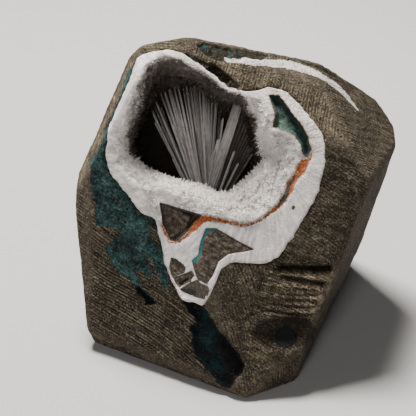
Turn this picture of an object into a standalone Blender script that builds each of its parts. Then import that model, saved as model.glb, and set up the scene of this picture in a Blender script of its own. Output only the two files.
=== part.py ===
"""A scolecite geode: a block of basalt ground to flat facets, opened on a hollow that white zeolite
lines and a fan of scolecite needles fills. It stands on its ground base. +Z is up, the hollow opens
toward -Y and upward, and the origin is in the middle of the base."""

import math
import random

import bmesh
import bpy
import numpy as np
from mathutils import Matrix, Vector, noise

MM = 0.001
NAME = "scolecite_geode"

# The facets ground on the block: heading from the front (-Y) toward +X and rise above the horizon
# of the facet's outward normal, in degrees, and its distance from the block's heart in mm.
FACETS = {
    "base": (0, -90, 46),
    "front_left": (-28, 15.5, 41.5),
    "front_right": (-2, 24, 38.5),
    "shoulder": (16, 49, 56.5),
    "crown": (42, 65, 67.5),
    "summit": (-4, 60, 69.5),
    "crest": (-44, 54, 72.5),
    "left_edge": (-52, 12, 56.5),
    "left_top": (-82, 26, 65.5),
    "left_side": (-90, 4, 66),
    "foot_left": (-30, -19, 63.8),
    "foot_corner": (-106, -12, 58.8),
    "foot_right": (28, -12, 64),
    "right_edge": (67, -12, 49.5),
    "right_back": (91, -15, 56),
    "right_top": (74, 40, 65.5),
    "right_foot": (80, -35, 52.5),
    "back": (178, 3, 44.5),
    "back_left": (-136, 10, 51.5),
    "back_right": (145, 8, 59),
    "back_top": (175, 38, 50),
    "foot_back_left": (-160, -40, 67.5),
    "foot_back_right": (150, -40, 69.5),
}
EDGE_ROUND = 2.4
MERGE = 0.4
BLOCK_BLANK = 200

# The hollow's own frame: a runs right, b runs up across it, and t runs down into it from the mean
# plane of its mouth, which leans by MOUTH_LEAN because the left facet lies further back.
HOLLOW_RISE = math.radians(31)
RIGHT = Vector((1, 0, 0))
UP = Vector((0, math.sin(HOLLOW_RISE), math.cos(HOLLOW_RISE)))
OUTWARD = Vector((0, -math.cos(HOLLOW_RISE), math.sin(HOLLOW_RISE)))
MOUTH = 38
MOUTH_LEAN = 0.195
CENTRE = (-14, 28)
ROOF_HEIGHT = 37
ROOF_TOP = 62.2
ROOF_FALL = 0.38
LINING = 3.2
# Depths t that lie clear above the ground face and clear under the clasts.
ABOVE, BELOW = -30, 30

# Outlines across the hollow (a, b) in mm: the white rind's outer edge on the ground face, the lip
# where its lining begins to dip, and the throat where the open space is narrowest.
RIND = [
    (-38.5, 61.5), (-28, 65), (-20, 61), (-12, 55.5), (-3.5, 48.5), (3, 47.5), (10.5, 49.5),
    (17, 48.5), (23, 42.5), (28, 36.5), (31.5, 31), (32, 20), (30, 11), (23.5, -1), (15.5, -13.5),
    (10.5, -16.5), (5, -16.5), (-3.5, -16), (-7, -19), (-9.5, -26), (-13.5, -33), (-22, -30.5),
    (-26, -23), (-28, -17), (-30, -6), (-31.5, 1), (-36.5, 2), (-42, 9.5), (-49.5, 18),
    (-51, 24.5), (-50, 34), (-47, 40.5), (-43.5, 48.5), (-40.5, 55),
]
LIP = [
    (-36, 59.5), (-28, 63), (-20.5, 59), (-13, 53.5), (-4, 47), (2.5, 46), (9, 45), (11, 40.5),
    (10.5, 35.5), (13.5, 32), (19.5, 30), (23, 24), (22, 18.5), (19, 11), (16, 5.5), (11.5, 1.5),
    (4.5, 0), (-5, 2), (-11.5, 4.5), (-18.5, 8), (-25.5, 9.5), (-30, 11.5), (-35, 11.5),
    (-39, 12.5), (-44, 16.5), (-48.5, 23), (-48, 33), (-44.5, 39.5), (-41.5, 47.5), (-38.5, 54),
]
THROAT = [
    (-42.5, 31), (-41.5, 23), (-38, 20), (-34, 17), (-25.5, 14.5), (-15, 12), (-6.5, 9), (-2, 9.5),
    (11.5, 24), (7.5, 33), (6, 39), (2.5, 44.5), (-4, 46.5), (-12, 52.5), (-20.5, 56),
    (-28, 57), (-33.5, 54), (-37.5, 47), (-41, 40),
]
# Sections of the crust's outer skin and of the open space: depth t, outline, scale and drop in mm.
BOWL_REACH = 44
SKIN_SECTIONS = [
    (-34, RIND, 1, 0), (-8, RIND, 1, 0), (0, RIND, 1, 0), (6, RIND, 1, 0), (11.5, RIND, 1, 0),
    (18, "bowl", 0.95, 2), (28, "bowl", 0.78, 6), (37, "bowl", 0.6, 8), (44, "bowl", 0.34, 9),
]
SPACE_SECTIONS = [
    (-36, LIP, 1, 0), (-4, LIP, 1, 0), (2, LIP, 1, 0), (5.5, "slope", 1, 0), (9, THROAT, 1, 0),
    (14, THROAT, 0.98, 3), (20, THROAT, 0.94, 5.5), (29, THROAT, 0.75, 7), (36, THROAT, 0.45, 8.5),
]
RING_STEP = math.radians(6)
CRUST_GAP = 0.35
LUMP = 0.9

# The pieces of basalt broken off under the hollow and cemented in white: outlines (a, b) in mm.
CLASTS = {
    "breccia_clast_upper": [
        (-30.3, 6.5), (-23, 4.3), (-13.5, 1.5), (-16.5, -1), (-19, -4.5), (-24, -9), (-26.5, -8.5),
        (-29, -3),
    ],
    "breccia_clast_main": [
        (-12.5, -3.5), (-8.5, -3.5), (0, -8.5), (6.5, -11.8), (2, -12.8), (-3.6, -13.6),
        (-7.6, -16.6), (-9.6, -22), (-12, -25), (-14.8, -24), (-16.3, -22), (-18, -16),
        (-15.5, -14), (-14.5, -8.5),
    ],
    "breccia_clast_left": [(-26, -14.8), (-20.8, -17.8), (-21.4, -20.6), (-25, -21.2)],
    "breccia_clast_lower": [(-24.6, -23.2), (-18.6, -20.8), (-17.2, -22.6), (-22.6, -26.4)],
}
CLAST_DEPTH = 4.5
CLAST_GAP = 0.3
CLAST_SUNK = {"breccia_clast_upper": 1.2}

# The recess lined with green celadonite between the rind's outer band and its lining.
GREEN_POCKET = [
    (11.5, 47), (15, 46.8), (18, 43.2), (20.8, 39), (24, 35), (26, 31), (27.3, 26), (26.3, 22.8),
    (24.6, 24), (23.5, 28), (21, 31.8), (17.5, 33.3), (13, 34.6), (13.8, 39.5),
]
GREEN_POCKET_DEPTH = 3.2
GREEN_POCKET_MIDDLE = (19, 38)

# Marks of the grinding on the right facet: long steps (a, b at the left end, length, depth), a
# round scoop, and the small open pocket beside the rind's upper edge.
SAW_STEPS = [
    (14, -18.2, 25, 2.4), (13, -21.8, 24, 1.1), (11.5, -25.8, 22, 0.8), (10, -29.2, 20, 0.9),
    (8.5, -32.6, 18, 0.8), (7, -35.6, 16, 0.7),
]
STEP_HEIGHT = 2.6
STEP_FALL = math.radians(-7)
SCOOP_AT = (19, -45)
SCOOP_SIZE = (15, 8.5, 6.5)
SCOOP_DEPTH = 2
EDGE_POCKET = [(-13, 57.6), (-9, 58), (-4.5, 54.5), (0.5, 50), (-1.5, 48.6), (-6, 51.5)]
EDGE_POCKET_FLOOR = -4

# The scolecite fan: where it grows from (a, b, t), and how far its needles reach at each angle
# from straight up, in mm.
FAN_FOOT = (-9.5, 3.5, 25)
FAN_REACH = [(-37, 36), (-24, 45), (-8, 48.5), (6, 48), (15, 44), (26, 39), (38, 31)]
FAN_RANKS = [(17, 8.5, 1.0, 1.15), (12, 17, 0.88, 0.95)]
FOOT_SPREAD = 4.5
NEEDLE_SIDES = 5
LINING_CRYSTALS = 96
THIN_LINING = 4.6
CRYSTAL_ROOT = 1.3
CRYSTAL_WIDTH = (1.1, 2.1)
CRYSTAL_STAND = (1.2, 2.6)
CRYSTAL_BAND = (2.5, 13)
SEED = 11

COLOURS = {
    "basalt": ((0.10, 0.085, 0.067, 1), 0.75),
    "zeolite": ((0.80, 0.77, 0.74, 1), 0.45),
}


def direction(heading, rise):
    heading, rise = math.radians(heading), math.radians(rise)
    flat = math.cos(rise)
    return Vector((math.sin(heading) * flat, -math.cos(heading) * flat, math.sin(rise)))


def in_hollow(a, b, t):
    """The point at a right, b up and t deep, in metres from the block's heart."""
    out = MOUTH + MOUTH_LEAN * a - t
    return (RIGHT * a + UP * b + OUTWARD * out) * MM


def new_object(name, mesh_maker, collection):
    mesh = bpy.data.meshes.new(name)
    mesh_maker.normal_update()
    mesh_maker.to_mesh(mesh)
    mesh_maker.free()
    made = bpy.data.objects.new(name, mesh)
    collection.objects.link(made)
    return made


def cutter(name, mesh_maker):
    made = new_object(name, mesh_maker, cutters)
    made.hide_render = True
    made.display_type = "WIRE"
    return made


def boolean(target, operation, tool, own_overlaps=False):
    step = target.modifiers.new(operation.title(), "BOOLEAN")
    step.operation = operation
    step.solver = "EXACT"
    step.use_self = own_overlaps
    step.object = tool


def material(name):
    colour, roughness = COLOURS[name]
    made = bpy.data.materials.new(name)
    made.use_nodes = True
    shader = made.node_tree.nodes["Principled BSDF"]
    shader.inputs["Base Color"].default_value = colour
    shader.inputs["Roughness"].default_value = roughness
    return made


def cut_back(block, facing, distance):
    """Grinds the block flat at this distance from its heart."""
    everything = block.verts[:] + block.edges[:] + block.faces[:]
    cut = bmesh.ops.bisect_plane(
        block, geom=everything, dist=1e-6, plane_co=facing * distance, plane_no=facing, clear_outer=True
    )
    rim = [part for part in cut["geom_cut"] if isinstance(part, bmesh.types.BMEdge)]
    if len(rim) > 2:
        bmesh.ops.contextual_create(block, geom=rim)


def ground_block(inset=0):
    """A blank cube cut back to every facet, inset mm further in, and then along every edge."""
    block = bmesh.new()
    bmesh.ops.create_cube(block, size=BLOCK_BLANK * MM)
    for heading, rise, distance in FACETS.values():
        cut_back(block, direction(heading, rise), (distance - inset) * MM)
    bmesh.ops.remove_doubles(block, verts=block.verts[:], dist=MERGE * MM)
    bmesh.ops.recalc_face_normals(block, faces=block.faces[:])
    chamfers = []
    for edge in block.edges:
        one, other = [face.normal.copy() for face in edge.link_faces]
        facing = (one + other).normalized()
        depth = EDGE_ROUND / 2 * math.tan(one.angle(other) / 2) * MM
        chamfers.append((facing, facing.dot(edge.verts[0].co) - depth))
    for facing, distance in chamfers:
        cut_back(block, facing, distance)
    bmesh.ops.remove_doubles(block, verts=block.verts[:], dist=MERGE * MM)
    bmesh.ops.dissolve_degenerate(block, dist=1e-5, edges=block.edges[:])
    bmesh.ops.triangulate(block, faces=block.faces[:])
    bmesh.ops.recalc_face_normals(block, faces=block.faces[:])
    return block


def reach(outline, angle):
    """How far the outline lies from the hollow's centre at this angle."""
    toward = np.array([math.cos(angle), math.sin(angle)])
    start = np.array(outline, float) - CENTRE
    side = np.roll(start, -1, axis=0) - start
    spread = toward[0] * side[:, 1] - toward[1] * side[:, 0]
    spread[np.abs(spread) < 1e-9] = 1e-9
    along = (start[:, 0] * side[:, 1] - start[:, 1] * side[:, 0]) / spread
    share = (start[:, 0] * toward[1] - start[:, 1] * toward[0]) / spread
    met = along[(along > 0) & (share > -1e-6) & (share < 1 + 1e-6)]
    return float(met.max())


def section_reach(outline, angle):
    if outline == "bowl":
        return min(reach(RIND, angle), BOWL_REACH)
    if outline == "slope":
        return (reach(LIP, angle) + 2 * reach(THROAT, angle)) / 3
    return reach(outline, angle)


def ring_angles():
    """The directions of the rind's own corners, with even ones between them."""
    corners = sorted(math.atan2(b - CENTRE[1], a - CENTRE[0]) for a, b in RIND)
    angles = []
    for here, after in zip(corners, corners[1:] + [corners[0] + math.tau]):
        parts = max(1, round((after - here) / RING_STEP))
        angles += [here + (after - here) * part / parts for part in range(parts)]
    return angles


def settled(b, t, drop=0, cover=0):
    """Where a point of a section comes to lie: the floor drops, and the roof keeps under the rock."""
    roof = min(1, max(0, b - CENTRE[1]) / ROOF_HEIGHT)
    return min(b - drop * (1 - roof), ROOF_TOP - cover - ROOF_FALL * t)


def skin_point(angle, t, outline, scale, drop, growth, cover):
    """A point of a section, kept this much under the roof's top and with its surface lumpy."""
    far = section_reach(outline, angle) * scale + growth
    lump = noise.noise(Vector((math.cos(angle) * 4, math.sin(angle) * 4, t * 0.16)))
    if t > 0:
        far += LUMP * lump * min(1, t / 6)
    a = CENTRE[0] + far * math.cos(angle)
    b = settled(CENTRE[1] + far * math.sin(angle), t, drop, cover - growth)
    return in_hollow(a, b, t)


def loft(sections, growth=0, cover=0):
    """A closed skin through the sections, with its two ends capped to a middle point."""
    skin = bmesh.new()
    angles = ring_angles()
    rings = []
    for t, outline, scale, drop in sections:
        deeper = t + growth * max(0, t) / sections[-1][0]
        spots = [skin_point(angle, deeper, outline, scale, drop, growth, cover) for angle in angles]
        rings.append([skin.verts.new(spot) for spot in spots])
    for upper, lower in zip(rings, rings[1:]):
        for here in range(len(angles)):
            after = (here + 1) % len(angles)
            skin.faces.new((upper[here], upper[after], lower[after], lower[here]))
    for ring in (rings[0], rings[-1]):
        skin.faces.new(ring)
    bmesh.ops.triangulate(skin, faces=skin.faces[:])
    bmesh.ops.recalc_face_normals(skin, faces=skin.faces[:])
    return skin


def prism(outline, top, bottom, growth=0):
    """The outline, grown on all sides, drawn down the hollow's axis from depth top to bottom."""
    solid = bmesh.new()
    corners = np.array(outline, float)
    before, after = np.roll(corners, 1, axis=0), np.roll(corners, -1, axis=0)
    turn = np.sum(before[:, 0] * corners[:, 1] - before[:, 1] * corners[:, 0])
    sides = []
    for first, second in ((before, corners), (corners, after)):
        run = second - first
        run /= np.linalg.norm(run, axis=1)[:, None]
        sides.append(np.stack([run[:, 1], -run[:, 0]], axis=1) * np.sign(turn))
    push = sides[0] + sides[1]
    push *= (growth / np.maximum(0.4, np.sum(push * sides[0], axis=1)))[:, None]
    floor = [solid.verts.new(in_hollow(a, b, bottom)) for a, b in corners + push]
    face = solid.faces.new(floor)
    drawn = bmesh.ops.extrude_face_region(solid, geom=[face], use_keep_orig=True)
    lifted = [part for part in drawn["geom"] if isinstance(part, bmesh.types.BMVert)]
    bmesh.ops.translate(solid, verts=lifted, vec=OUTWARD * (bottom - top) * MM)
    bmesh.ops.recalc_face_normals(solid, faces=solid.faces[:])
    return solid


def facet_spot(a, b):
    """Where the line into the hollow's frame at (a, b) meets the ground surface, and its normal."""
    start = in_hollow(a, b, 0)
    best = None
    for heading, rise, distance in FACETS.values():
        facing = direction(heading, rise)
        slope = facing.dot(OUTWARD)
        if slope <= 0:
            continue
        out = (distance * MM - facing.dot(start)) / slope
        if best is None or out < best[0]:
            best = (out, facing)
    return start + OUTWARD * best[0], best[1]


def saw_step(a, b, length, depth):
    """A long three-sided cutter whose upper side leaves a ledge and whose lower side runs out."""
    spot, facing = facet_spot(a + length / 2, b)
    step = bmesh.new()
    lying = Matrix.Rotation(math.pi / 2, 4, "Y")
    bmesh.ops.create_cone(
        step, cap_ends=True, segments=3, radius1=1, radius2=0.85, depth=1, matrix=lying
    )
    along = (RIGHT - facing * RIGHT.dot(facing)).normalized()
    across = facing.cross(along)
    frame = Matrix((along, across, facing)).transposed().to_4x4()
    tilt = Matrix.Rotation(STEP_FALL, 4, "Z")
    size = Matrix.Diagonal((length * MM, STEP_HEIGHT * MM, depth * MM, 1))
    bmesh.ops.transform(step, matrix=Matrix.Translation(spot) @ frame @ tilt @ size, verts=step.verts[:])
    bmesh.ops.recalc_face_normals(step, faces=step.faces[:])
    return step


def scoop():
    spot, facing = facet_spot(*SCOOP_AT)
    dish = bmesh.new()
    bmesh.ops.create_uvsphere(dish, u_segments=20, v_segments=12, radius=1)
    along = (RIGHT - facing * RIGHT.dot(facing)).normalized()
    frame = Matrix((along, facing.cross(along), facing)).transposed().to_4x4()
    size = Matrix.Diagonal((*[side * MM for side in SCOOP_SIZE], 1))
    middle = spot + facing * (SCOOP_SIZE[2] - SCOOP_DEPTH) * MM
    bmesh.ops.transform(dish, matrix=Matrix.Translation(middle) @ frame @ size, verts=dish.verts[:])
    return dish


def crystal(foot, tip, width, sides, point_share, turn):
    """A flat-faced prism from foot to tip that ends in a blunt point."""
    axis = tip - foot
    solid = bmesh.new()
    made = bmesh.ops.create_cone(
        solid, cap_ends=True, segments=sides, radius1=width * MM, radius2=width * MM, depth=axis.length
    )
    top = [vert for vert in made["verts"] if vert.co.z > 0]
    cap = [face for face in solid.faces if all(vert in top for vert in face.verts)]
    raised = bmesh.ops.extrude_face_region(solid, geom=cap)
    crown = [part for part in raised["geom"] if isinstance(part, bmesh.types.BMVert)]
    bmesh.ops.delete(solid, geom=cap, context="FACES_ONLY")
    for vert in top:
        vert.co.z -= axis.length * point_share
    bmesh.ops.scale(solid, vec=(0.35, 0.35, 1), verts=crown)
    frame = axis.to_track_quat("Z", "Y").to_matrix().to_4x4()
    place = Matrix.Translation((foot + tip) / 2) @ frame @ Matrix.Rotation(turn, 4, "Z")
    bmesh.ops.transform(solid, matrix=place, verts=solid.verts[:])
    bmesh.ops.recalc_face_normals(solid, faces=solid.faces[:])
    return solid


def needles():
    """The fan's needles, rank by rank, all rooted in the lining's floor."""
    chance = random.Random(SEED)
    angles, lengths = zip(*FAN_REACH)
    for count, tip_depth, share, width in FAN_RANKS:
        for number in range(count):
            even = (number + 0.5 + chance.uniform(-0.25, 0.25)) / count
            angle = angles[0] + (angles[-1] - angles[0]) * even
            length = np.interp(angle, angles, lengths) * share * chance.uniform(0.86, 1)
            lean = math.radians(angle)
            foot_a = FAN_FOOT[0] + FOOT_SPREAD * (even - 0.5) * 2
            foot = in_hollow(foot_a, FAN_FOOT[1], FAN_FOOT[2] + chance.uniform(-2, 2))
            tip = in_hollow(
                FAN_FOOT[0] + length * math.sin(lean),
                FAN_FOOT[1] + length * math.cos(lean),
                tip_depth + chance.uniform(-2, 2),
            )
            thick = width * chance.uniform(0.6, 1.05)
            yield crystal(foot, tip, thick, NEEDLE_SIDES, 0.05, chance.uniform(0, 1))


def lining_crystals():
    """Stubby crystals that stand on the sloping lining between the lip and the throat."""
    chance = random.Random(SEED + 1)
    for number in range(LINING_CRYSTALS):
        angle = math.tau * (number + chance.uniform(-0.3, 0.3)) / LINING_CRYSTALS
        t = chance.uniform(*CRYSTAL_BAND)
        share = min(1, max(0, (t - 2) / 7))
        far = reach(LIP, angle) * (1 - share) + reach(THROAT, angle) * share
        a = CENTRE[0] + far * math.cos(angle)
        b = settled(CENTRE[1] + far * math.sin(angle), t, cover=LINING)
        spot = in_hollow(a, b, t)
        backing = section_reach("bowl", angle) - far
        if backing < THIN_LINING:
            continue
        inward = in_hollow(a - math.cos(angle), b - math.sin(angle), t - 0.7) - spot
        sway = Vector([chance.uniform(-0.5, 0.5) for _ in range(3)])
        grow = (inward.normalized() + sway).normalized()
        size = chance.uniform(*CRYSTAL_STAND)
        yield crystal(
            spot - grow * CRYSTAL_ROOT * MM,
            spot + grow * size * MM,
            chance.uniform(*CRYSTAL_WIDTH),
            4,
            0.3,
            chance.uniform(0, 3),
        )


def gathered(parts):
    """Several closed solids put in one mesh, which may overlap."""
    together = bmesh.new()
    for part in parts:
        mesh = bpy.data.meshes.new("part")
        part.to_mesh(mesh)
        part.free()
        together.from_mesh(mesh)
        bpy.data.meshes.remove(mesh)
    return together


for stale in list(bpy.data.objects):
    bpy.data.objects.remove(stale)
geode = bpy.data.collections.new(NAME)
cutters = bpy.data.collections.new("cutters")
bpy.context.scene.collection.children.link(geode)
bpy.context.scene.collection.children.link(cutters)
basalt, zeolite = material("basalt"), material("zeolite")

# Basalt matrix
matrix = new_object("basalt_matrix", ground_block(), geode)
matrix.data.materials.append(basalt)
boolean(matrix, "DIFFERENCE", cutter("hollow_for_crust", loft(SKIN_SECTIONS, CRUST_GAP)))
for number, step in enumerate(SAW_STEPS):
    boolean(matrix, "DIFFERENCE", cutter(f"saw_step_{number + 1}", saw_step(*step)))
boolean(matrix, "DIFFERENCE", cutter("scoop", scoop()))
pocket = prism(EDGE_POCKET, ABOVE, EDGE_POCKET_FLOOR)
boolean(matrix, "DIFFERENCE", cutter("edge_pocket", pocket))

# Crystal crust with the scolecite fan
crust = new_object("crystal_crust", loft(SKIN_SECTIONS), geode)
crust.data.materials.append(zeolite)
boolean(crust, "INTERSECT", cutter("block_for_crust", ground_block()))
boolean(crust, "DIFFERENCE", cutter("open_space", loft(SPACE_SECTIONS, cover=LINING)))
spot, facing = facet_spot(*GREEN_POCKET_MIDDLE)
ground_face = MOUTH + MOUTH_LEAN * GREEN_POCKET_MIDDLE[0] - spot.dot(OUTWARD) / MM
floor = ground_face + GREEN_POCKET_DEPTH
boolean(crust, "DIFFERENCE", cutter("green_pocket", prism(GREEN_POCKET, ABOVE, floor)))
for name, outline in CLASTS.items():
    slab = prism(outline, ABOVE, BELOW, CLAST_GAP)
    socket = cutter(name + "_socket", slab)
    boolean(socket, "DIFFERENCE", cutter(name + "_bed", ground_block(CLAST_DEPTH + CLAST_GAP)))
    boolean(crust, "DIFFERENCE", socket)
grown = cutter("grown_crystals", gathered([*needles(), *lining_crystals()]))
boolean(crust, "UNION", grown, own_overlaps=True)

# Breccia clasts
for name, outline in CLASTS.items():
    clast = new_object(name, prism(outline, ABOVE, BELOW), geode)
    clast.data.materials.append(basalt)
    top = cutter(name + "_face", ground_block(CLAST_SUNK.get(name, 0)))
    boolean(clast, "INTERSECT", top)
    boolean(clast, "DIFFERENCE", cutter(name + "_under", ground_block(CLAST_DEPTH)))

# The heart of the block lies above the middle of its base.
corners = [matrix.matrix_world @ vert.co for vert in matrix.data.vertices]
lowest = Vector([min(corner[axis] for corner in corners) for axis in range(3)])
highest = Vector([max(corner[axis] for corner in corners) for axis in range(3)])
base_middle = Vector(((lowest.x + highest.x) / 2, (lowest.y + highest.y) / 2, lowest.z))
for each in [*geode.objects, *cutters.objects]:
    each.data.transform(Matrix.Translation(-base_middle))
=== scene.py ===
# A scolecite geode: a ground basalt block, the white zeolite crust of its hollow, the sugary
# crystals on that crust, the fan of scolecite needles and the broken basalt under the hollow.
import itertools
import math

import bpy
import numpy as np
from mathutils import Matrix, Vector
from mathutils.bvhtree import BVHTree


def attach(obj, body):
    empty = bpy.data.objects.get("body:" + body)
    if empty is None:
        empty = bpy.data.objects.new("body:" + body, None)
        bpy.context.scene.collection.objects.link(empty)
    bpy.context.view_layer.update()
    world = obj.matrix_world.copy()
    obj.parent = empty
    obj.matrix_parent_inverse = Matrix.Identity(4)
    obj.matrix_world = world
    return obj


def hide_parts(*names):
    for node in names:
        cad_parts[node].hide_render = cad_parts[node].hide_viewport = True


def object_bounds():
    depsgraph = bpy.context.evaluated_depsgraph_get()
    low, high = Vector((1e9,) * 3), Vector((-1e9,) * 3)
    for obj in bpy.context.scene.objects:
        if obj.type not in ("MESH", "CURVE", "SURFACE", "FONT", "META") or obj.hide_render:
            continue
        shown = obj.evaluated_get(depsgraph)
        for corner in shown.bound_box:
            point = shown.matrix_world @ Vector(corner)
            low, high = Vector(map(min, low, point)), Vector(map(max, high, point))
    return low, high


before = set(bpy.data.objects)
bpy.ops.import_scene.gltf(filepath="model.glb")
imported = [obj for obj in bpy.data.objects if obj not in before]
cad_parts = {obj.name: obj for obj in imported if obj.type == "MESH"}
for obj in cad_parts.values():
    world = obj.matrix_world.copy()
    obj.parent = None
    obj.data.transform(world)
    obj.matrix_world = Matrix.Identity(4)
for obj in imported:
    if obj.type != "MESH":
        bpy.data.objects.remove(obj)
cad_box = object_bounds()

# The basalt matrix: one block of fine-grained grey-brown lava rock, cut back to flat facets on a
# coarse wheel that left fine parallel marks. Celadonite fills patches of it with sea green, and a
# white vein crosses its shoulder.
MM = 0.001
HEART = np.array([-0.2, 6.85, 46.0])
HOLLOW_RISE = math.radians(31)
RIGHT = np.array([1.0, 0, 0])
UP = np.array([0, math.sin(HOLLOW_RISE), math.cos(HOLLOW_RISE)])
OUTWARD = np.array([0, -math.cos(HOLLOW_RISE), math.sin(HOLLOW_RISE)])
FACETS = {
    "base": (0, -90, 46, 0),
    "front_left": (-28, 15.5, 41.5, -12),
    "front_right": (-2, 24, 38.5, -14),
    "shoulder": (16, 49, 56.5, 84),
    "crown": (42, 65, 67.5, 70),
    "summit": (-4, 60, 69.5, 80),
    "crest": (-44, 54, 72.5, 20),
    "left_edge": (-52, 12, 56.5, 2),
    "left_top": (-82, 26, 65.5, 0),
    "left_side": (-90, 4, 66, 5),
    "foot_left": (-30, -19, 63.8, -10),
    "foot_corner": (-106, -12, 58.8, 10),
    "foot_right": (28, -12, 64, -66),
    "right_edge": (67, -12, 49.5, 62),
    "right_back": (91, -15, 56, 30),
    "right_top": (74, 40, 65.5, -40),
    "right_foot": (80, -35, 52.5, 20),
    "back": (178, 3, 44.5, 12),
    "back_left": (-136, 10, 51.5, -8),
    "back_right": (145, 8, 59, 35),
    "back_top": (175, 38, 50, -20),
    "foot_back_left": (-160, -40, 67.5, 0),
    "foot_back_right": (150, -40, 69.5, 15),
}
ROCK_GRAIN = 1.17
# How the wheel's marks curve: mm across for each square mm along.
MARK_SWEEP = 0.0035
# Painted light: the facets that face up to the lamp are painted paler by these shares.
PAINTED_LIGHT_FACETS = {"shoulder": 1, "crown": 0.5, "crest": 0.5, "left_top": 0.7, "summit": 0.4}
COARSE_FACETS = {"front_left": 0.8, "foot_left": 1, "left_edge": 0.6, "front_right": -0.2}
TEAL_LEFT = [
    (-50.5, 36), (-53, 29.5), (-55.5, 27), (-59, 23.5), (-58.5, 13.5), (-56.5, 3), (-56.5, -3),
    (-51.5, -3.6), (-45, -5.6), (-48, -7.6), (-53, -12.5), (-49.5, -19.5), (-42.5, -25),
    (-39.5, -28), (-37.5, -29.5), (-37.5, -27), (-39.5, -20.5), (-37, -21.5),
    (-33.5, -25.5), (-34.4, -18), (-36.2, -13.4), (-33.6, -17), (-30.5, -24.5), (-27.5, -29.5),
    (-27, -25), (-27.5, -15), (-30, -6), (-31.5, 1.5), (-36.5, 1.5), (-41, 8), (-49, 17.5),
    (-51, 24.5), (-50, 34),
]
TEAL_BAND = [
    (-53.5, 27), (-52.5, 36), (-48, 43), (-45.5, 48.5), (-44, 56), (-39, 60.5), (-36, 61.5),
    (-38.5, 57), (-42, 49), (-45.5, 41), (-49, 34), (-50, 25),
]
SPIKE = [(-33.8, -3.2), (-31.6, -4.2), (-30.4, -10.5), (-31.4, -10.8), (-34.4, -6.2)]
DARK_TEAL = [
    (-22.5, -30), (-18.5, -32), (-13.5, -34), (-9, -40.5), (-7.5, -43.5), (-4.5, -46), (-1, -51),
    (2.5, -56), (2, -60), (-1, -62.5), (-3, -66.5), (-5.5, -66.5), (-8, -64.5), (-12, -60),
    (-16.5, -54.5), (-18, -50.5), (-18, -45), (-20, -42.5), (-16, -40.5), (-19.5, -36.5),
]
LEFT_GAP = [
    (-41, -27.4), (-39, -27.2), (-36.3, -29.6), (-34.3, -31.2), (-32, -33.8), (-34.5, -34.6),
    (-36.8, -34.4), (-37.2, -32.2), (-40, -30),
]
VEIN = [
    (-5.5, 61.6), (0.5, 61.2), (3, 62.3), (6, 61.3), (11.5, 61.2), (17.5, 61.4), (22, 60.8),
    (27, 59), (32.5, 56.3), (38.5, 53.4), (43.5, 49.4), (48.4, 42.6), (47.6, 42.6), (42.6, 47),
    (38, 50.6), (35, 52.4), (32, 53.8), (27, 55.8), (22, 57), (17.5, 58), (11.5, 58.2), (6, 58.4),
    (0.5, 59.1), (-5, 60),
]
TOP_RECESS = [
    (-16, 65.5), (-13, 67.5), (-5, 65.6), (9, 64.4), (12, 63), (9, 60.6), (3.5, 61), (0.5, 59.6),
    (-5, 59.2), (-9.5, 60.4), (-13, 62),
]
TOP_SEAM = [(20.5, 62.8), (27, 62.6), (42, 59.5), (45, 55), (42.5, 54.6), (34, 57.2), (25, 60.4)]
EDGE_POCKET = [
    (-22, 64), (-16, 61.2), (-9.5, 58.3), (-4.2, 54.8), (0.8, 50), (-1.5, 48), (-6, 51), (-14, 57.8),
    (-21.5, 62.6),
]
SCOOP_SPOT = (18.5, -46.3)
SPOT_SIZE = (3.6, 3)
# What a mark's field holds where the mark can't be, as if this many mm outside its outline.
OUTSIDE = -8.0
# Long steps cut by the wheel's edge: left end (a, b), length, depth, height and fall in degrees.
STEPS = [
    (12.5, -17.6, 24.5, 2.4, 4.6, -1.5), (14, -21.2, 21, 1.5, 3.4, -9.5), (18, -26.4, 13, 0.3, 1.3, -6),
    (12.5, -28.4, 18.5, 0.45, 1.5, -3.5), (17, -30.3, 14, 0.3, 1.2, -6), (9.5, -32.4, 21, 0.6, 1.6, -4),
    (7.5, -34.9, 22, 0.8, 2.2, -5.5), (10, -37.6, 12, 0.3, 1.2, -3),
]
SCOOP = [
    (4, -44.5), (5, -42.5), (7.5, -40.5), (10.5, -39), (15.5, -38.5), (20, -38), (23.5, -37.5),
    (28, -39), (33, -44.5), (33, -47.5), (30, -50.5), (23.5, -52.5), (15.5, -53), (9.5, -51.5),
    (5.5, -48),
]
# The facet's left part was ground across, in fine steep marks.
STEEP_MARKS = [
    (-30, -14), (7, -17), (10, -24), (9.5, -31), (7, -37), (4, -43), (2, -52), (14, -75), (-30, -75),
]
STEEP_TURN = -52
# Among the long steps its marks run level, dropping this much for each mm across.
RIBBED = [(11, -16), (38, -19), (38, -25), (28, -39), (4, -38)]
RIB_FALL = 0.12
# How deep the teal, the black and the recessed patches are sunk, in mm.
TEAL_SINK, DARK_SINK, RECESS_SINK = 0.35, 1.3, 0.8


def bumps(points, size, seed):
    """Smooth bumps from -1 to 1, about this many mm across, the same on every run."""
    cells = points / size + seed * 17.31
    corner = np.floor(cells).astype(np.int64)
    share = cells - corner
    share = share * share * (3 - 2 * share)
    total = np.zeros(len(points))
    for step in itertools.product((0, 1), repeat=3):
        key = corner + step
        mixed = (key[:, 0] * 73856093) ^ (key[:, 1] * 19349663) ^ (key[:, 2] * 83492791)
        mixed = (mixed ^ (mixed >> 13)) * 1274126177
        height = ((mixed ^ (mixed >> 16)) & 0xFFFF) / 32767.5 - 1
        total += height * np.prod(np.where(step, share, 1 - share), axis=1)
    return total


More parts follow.
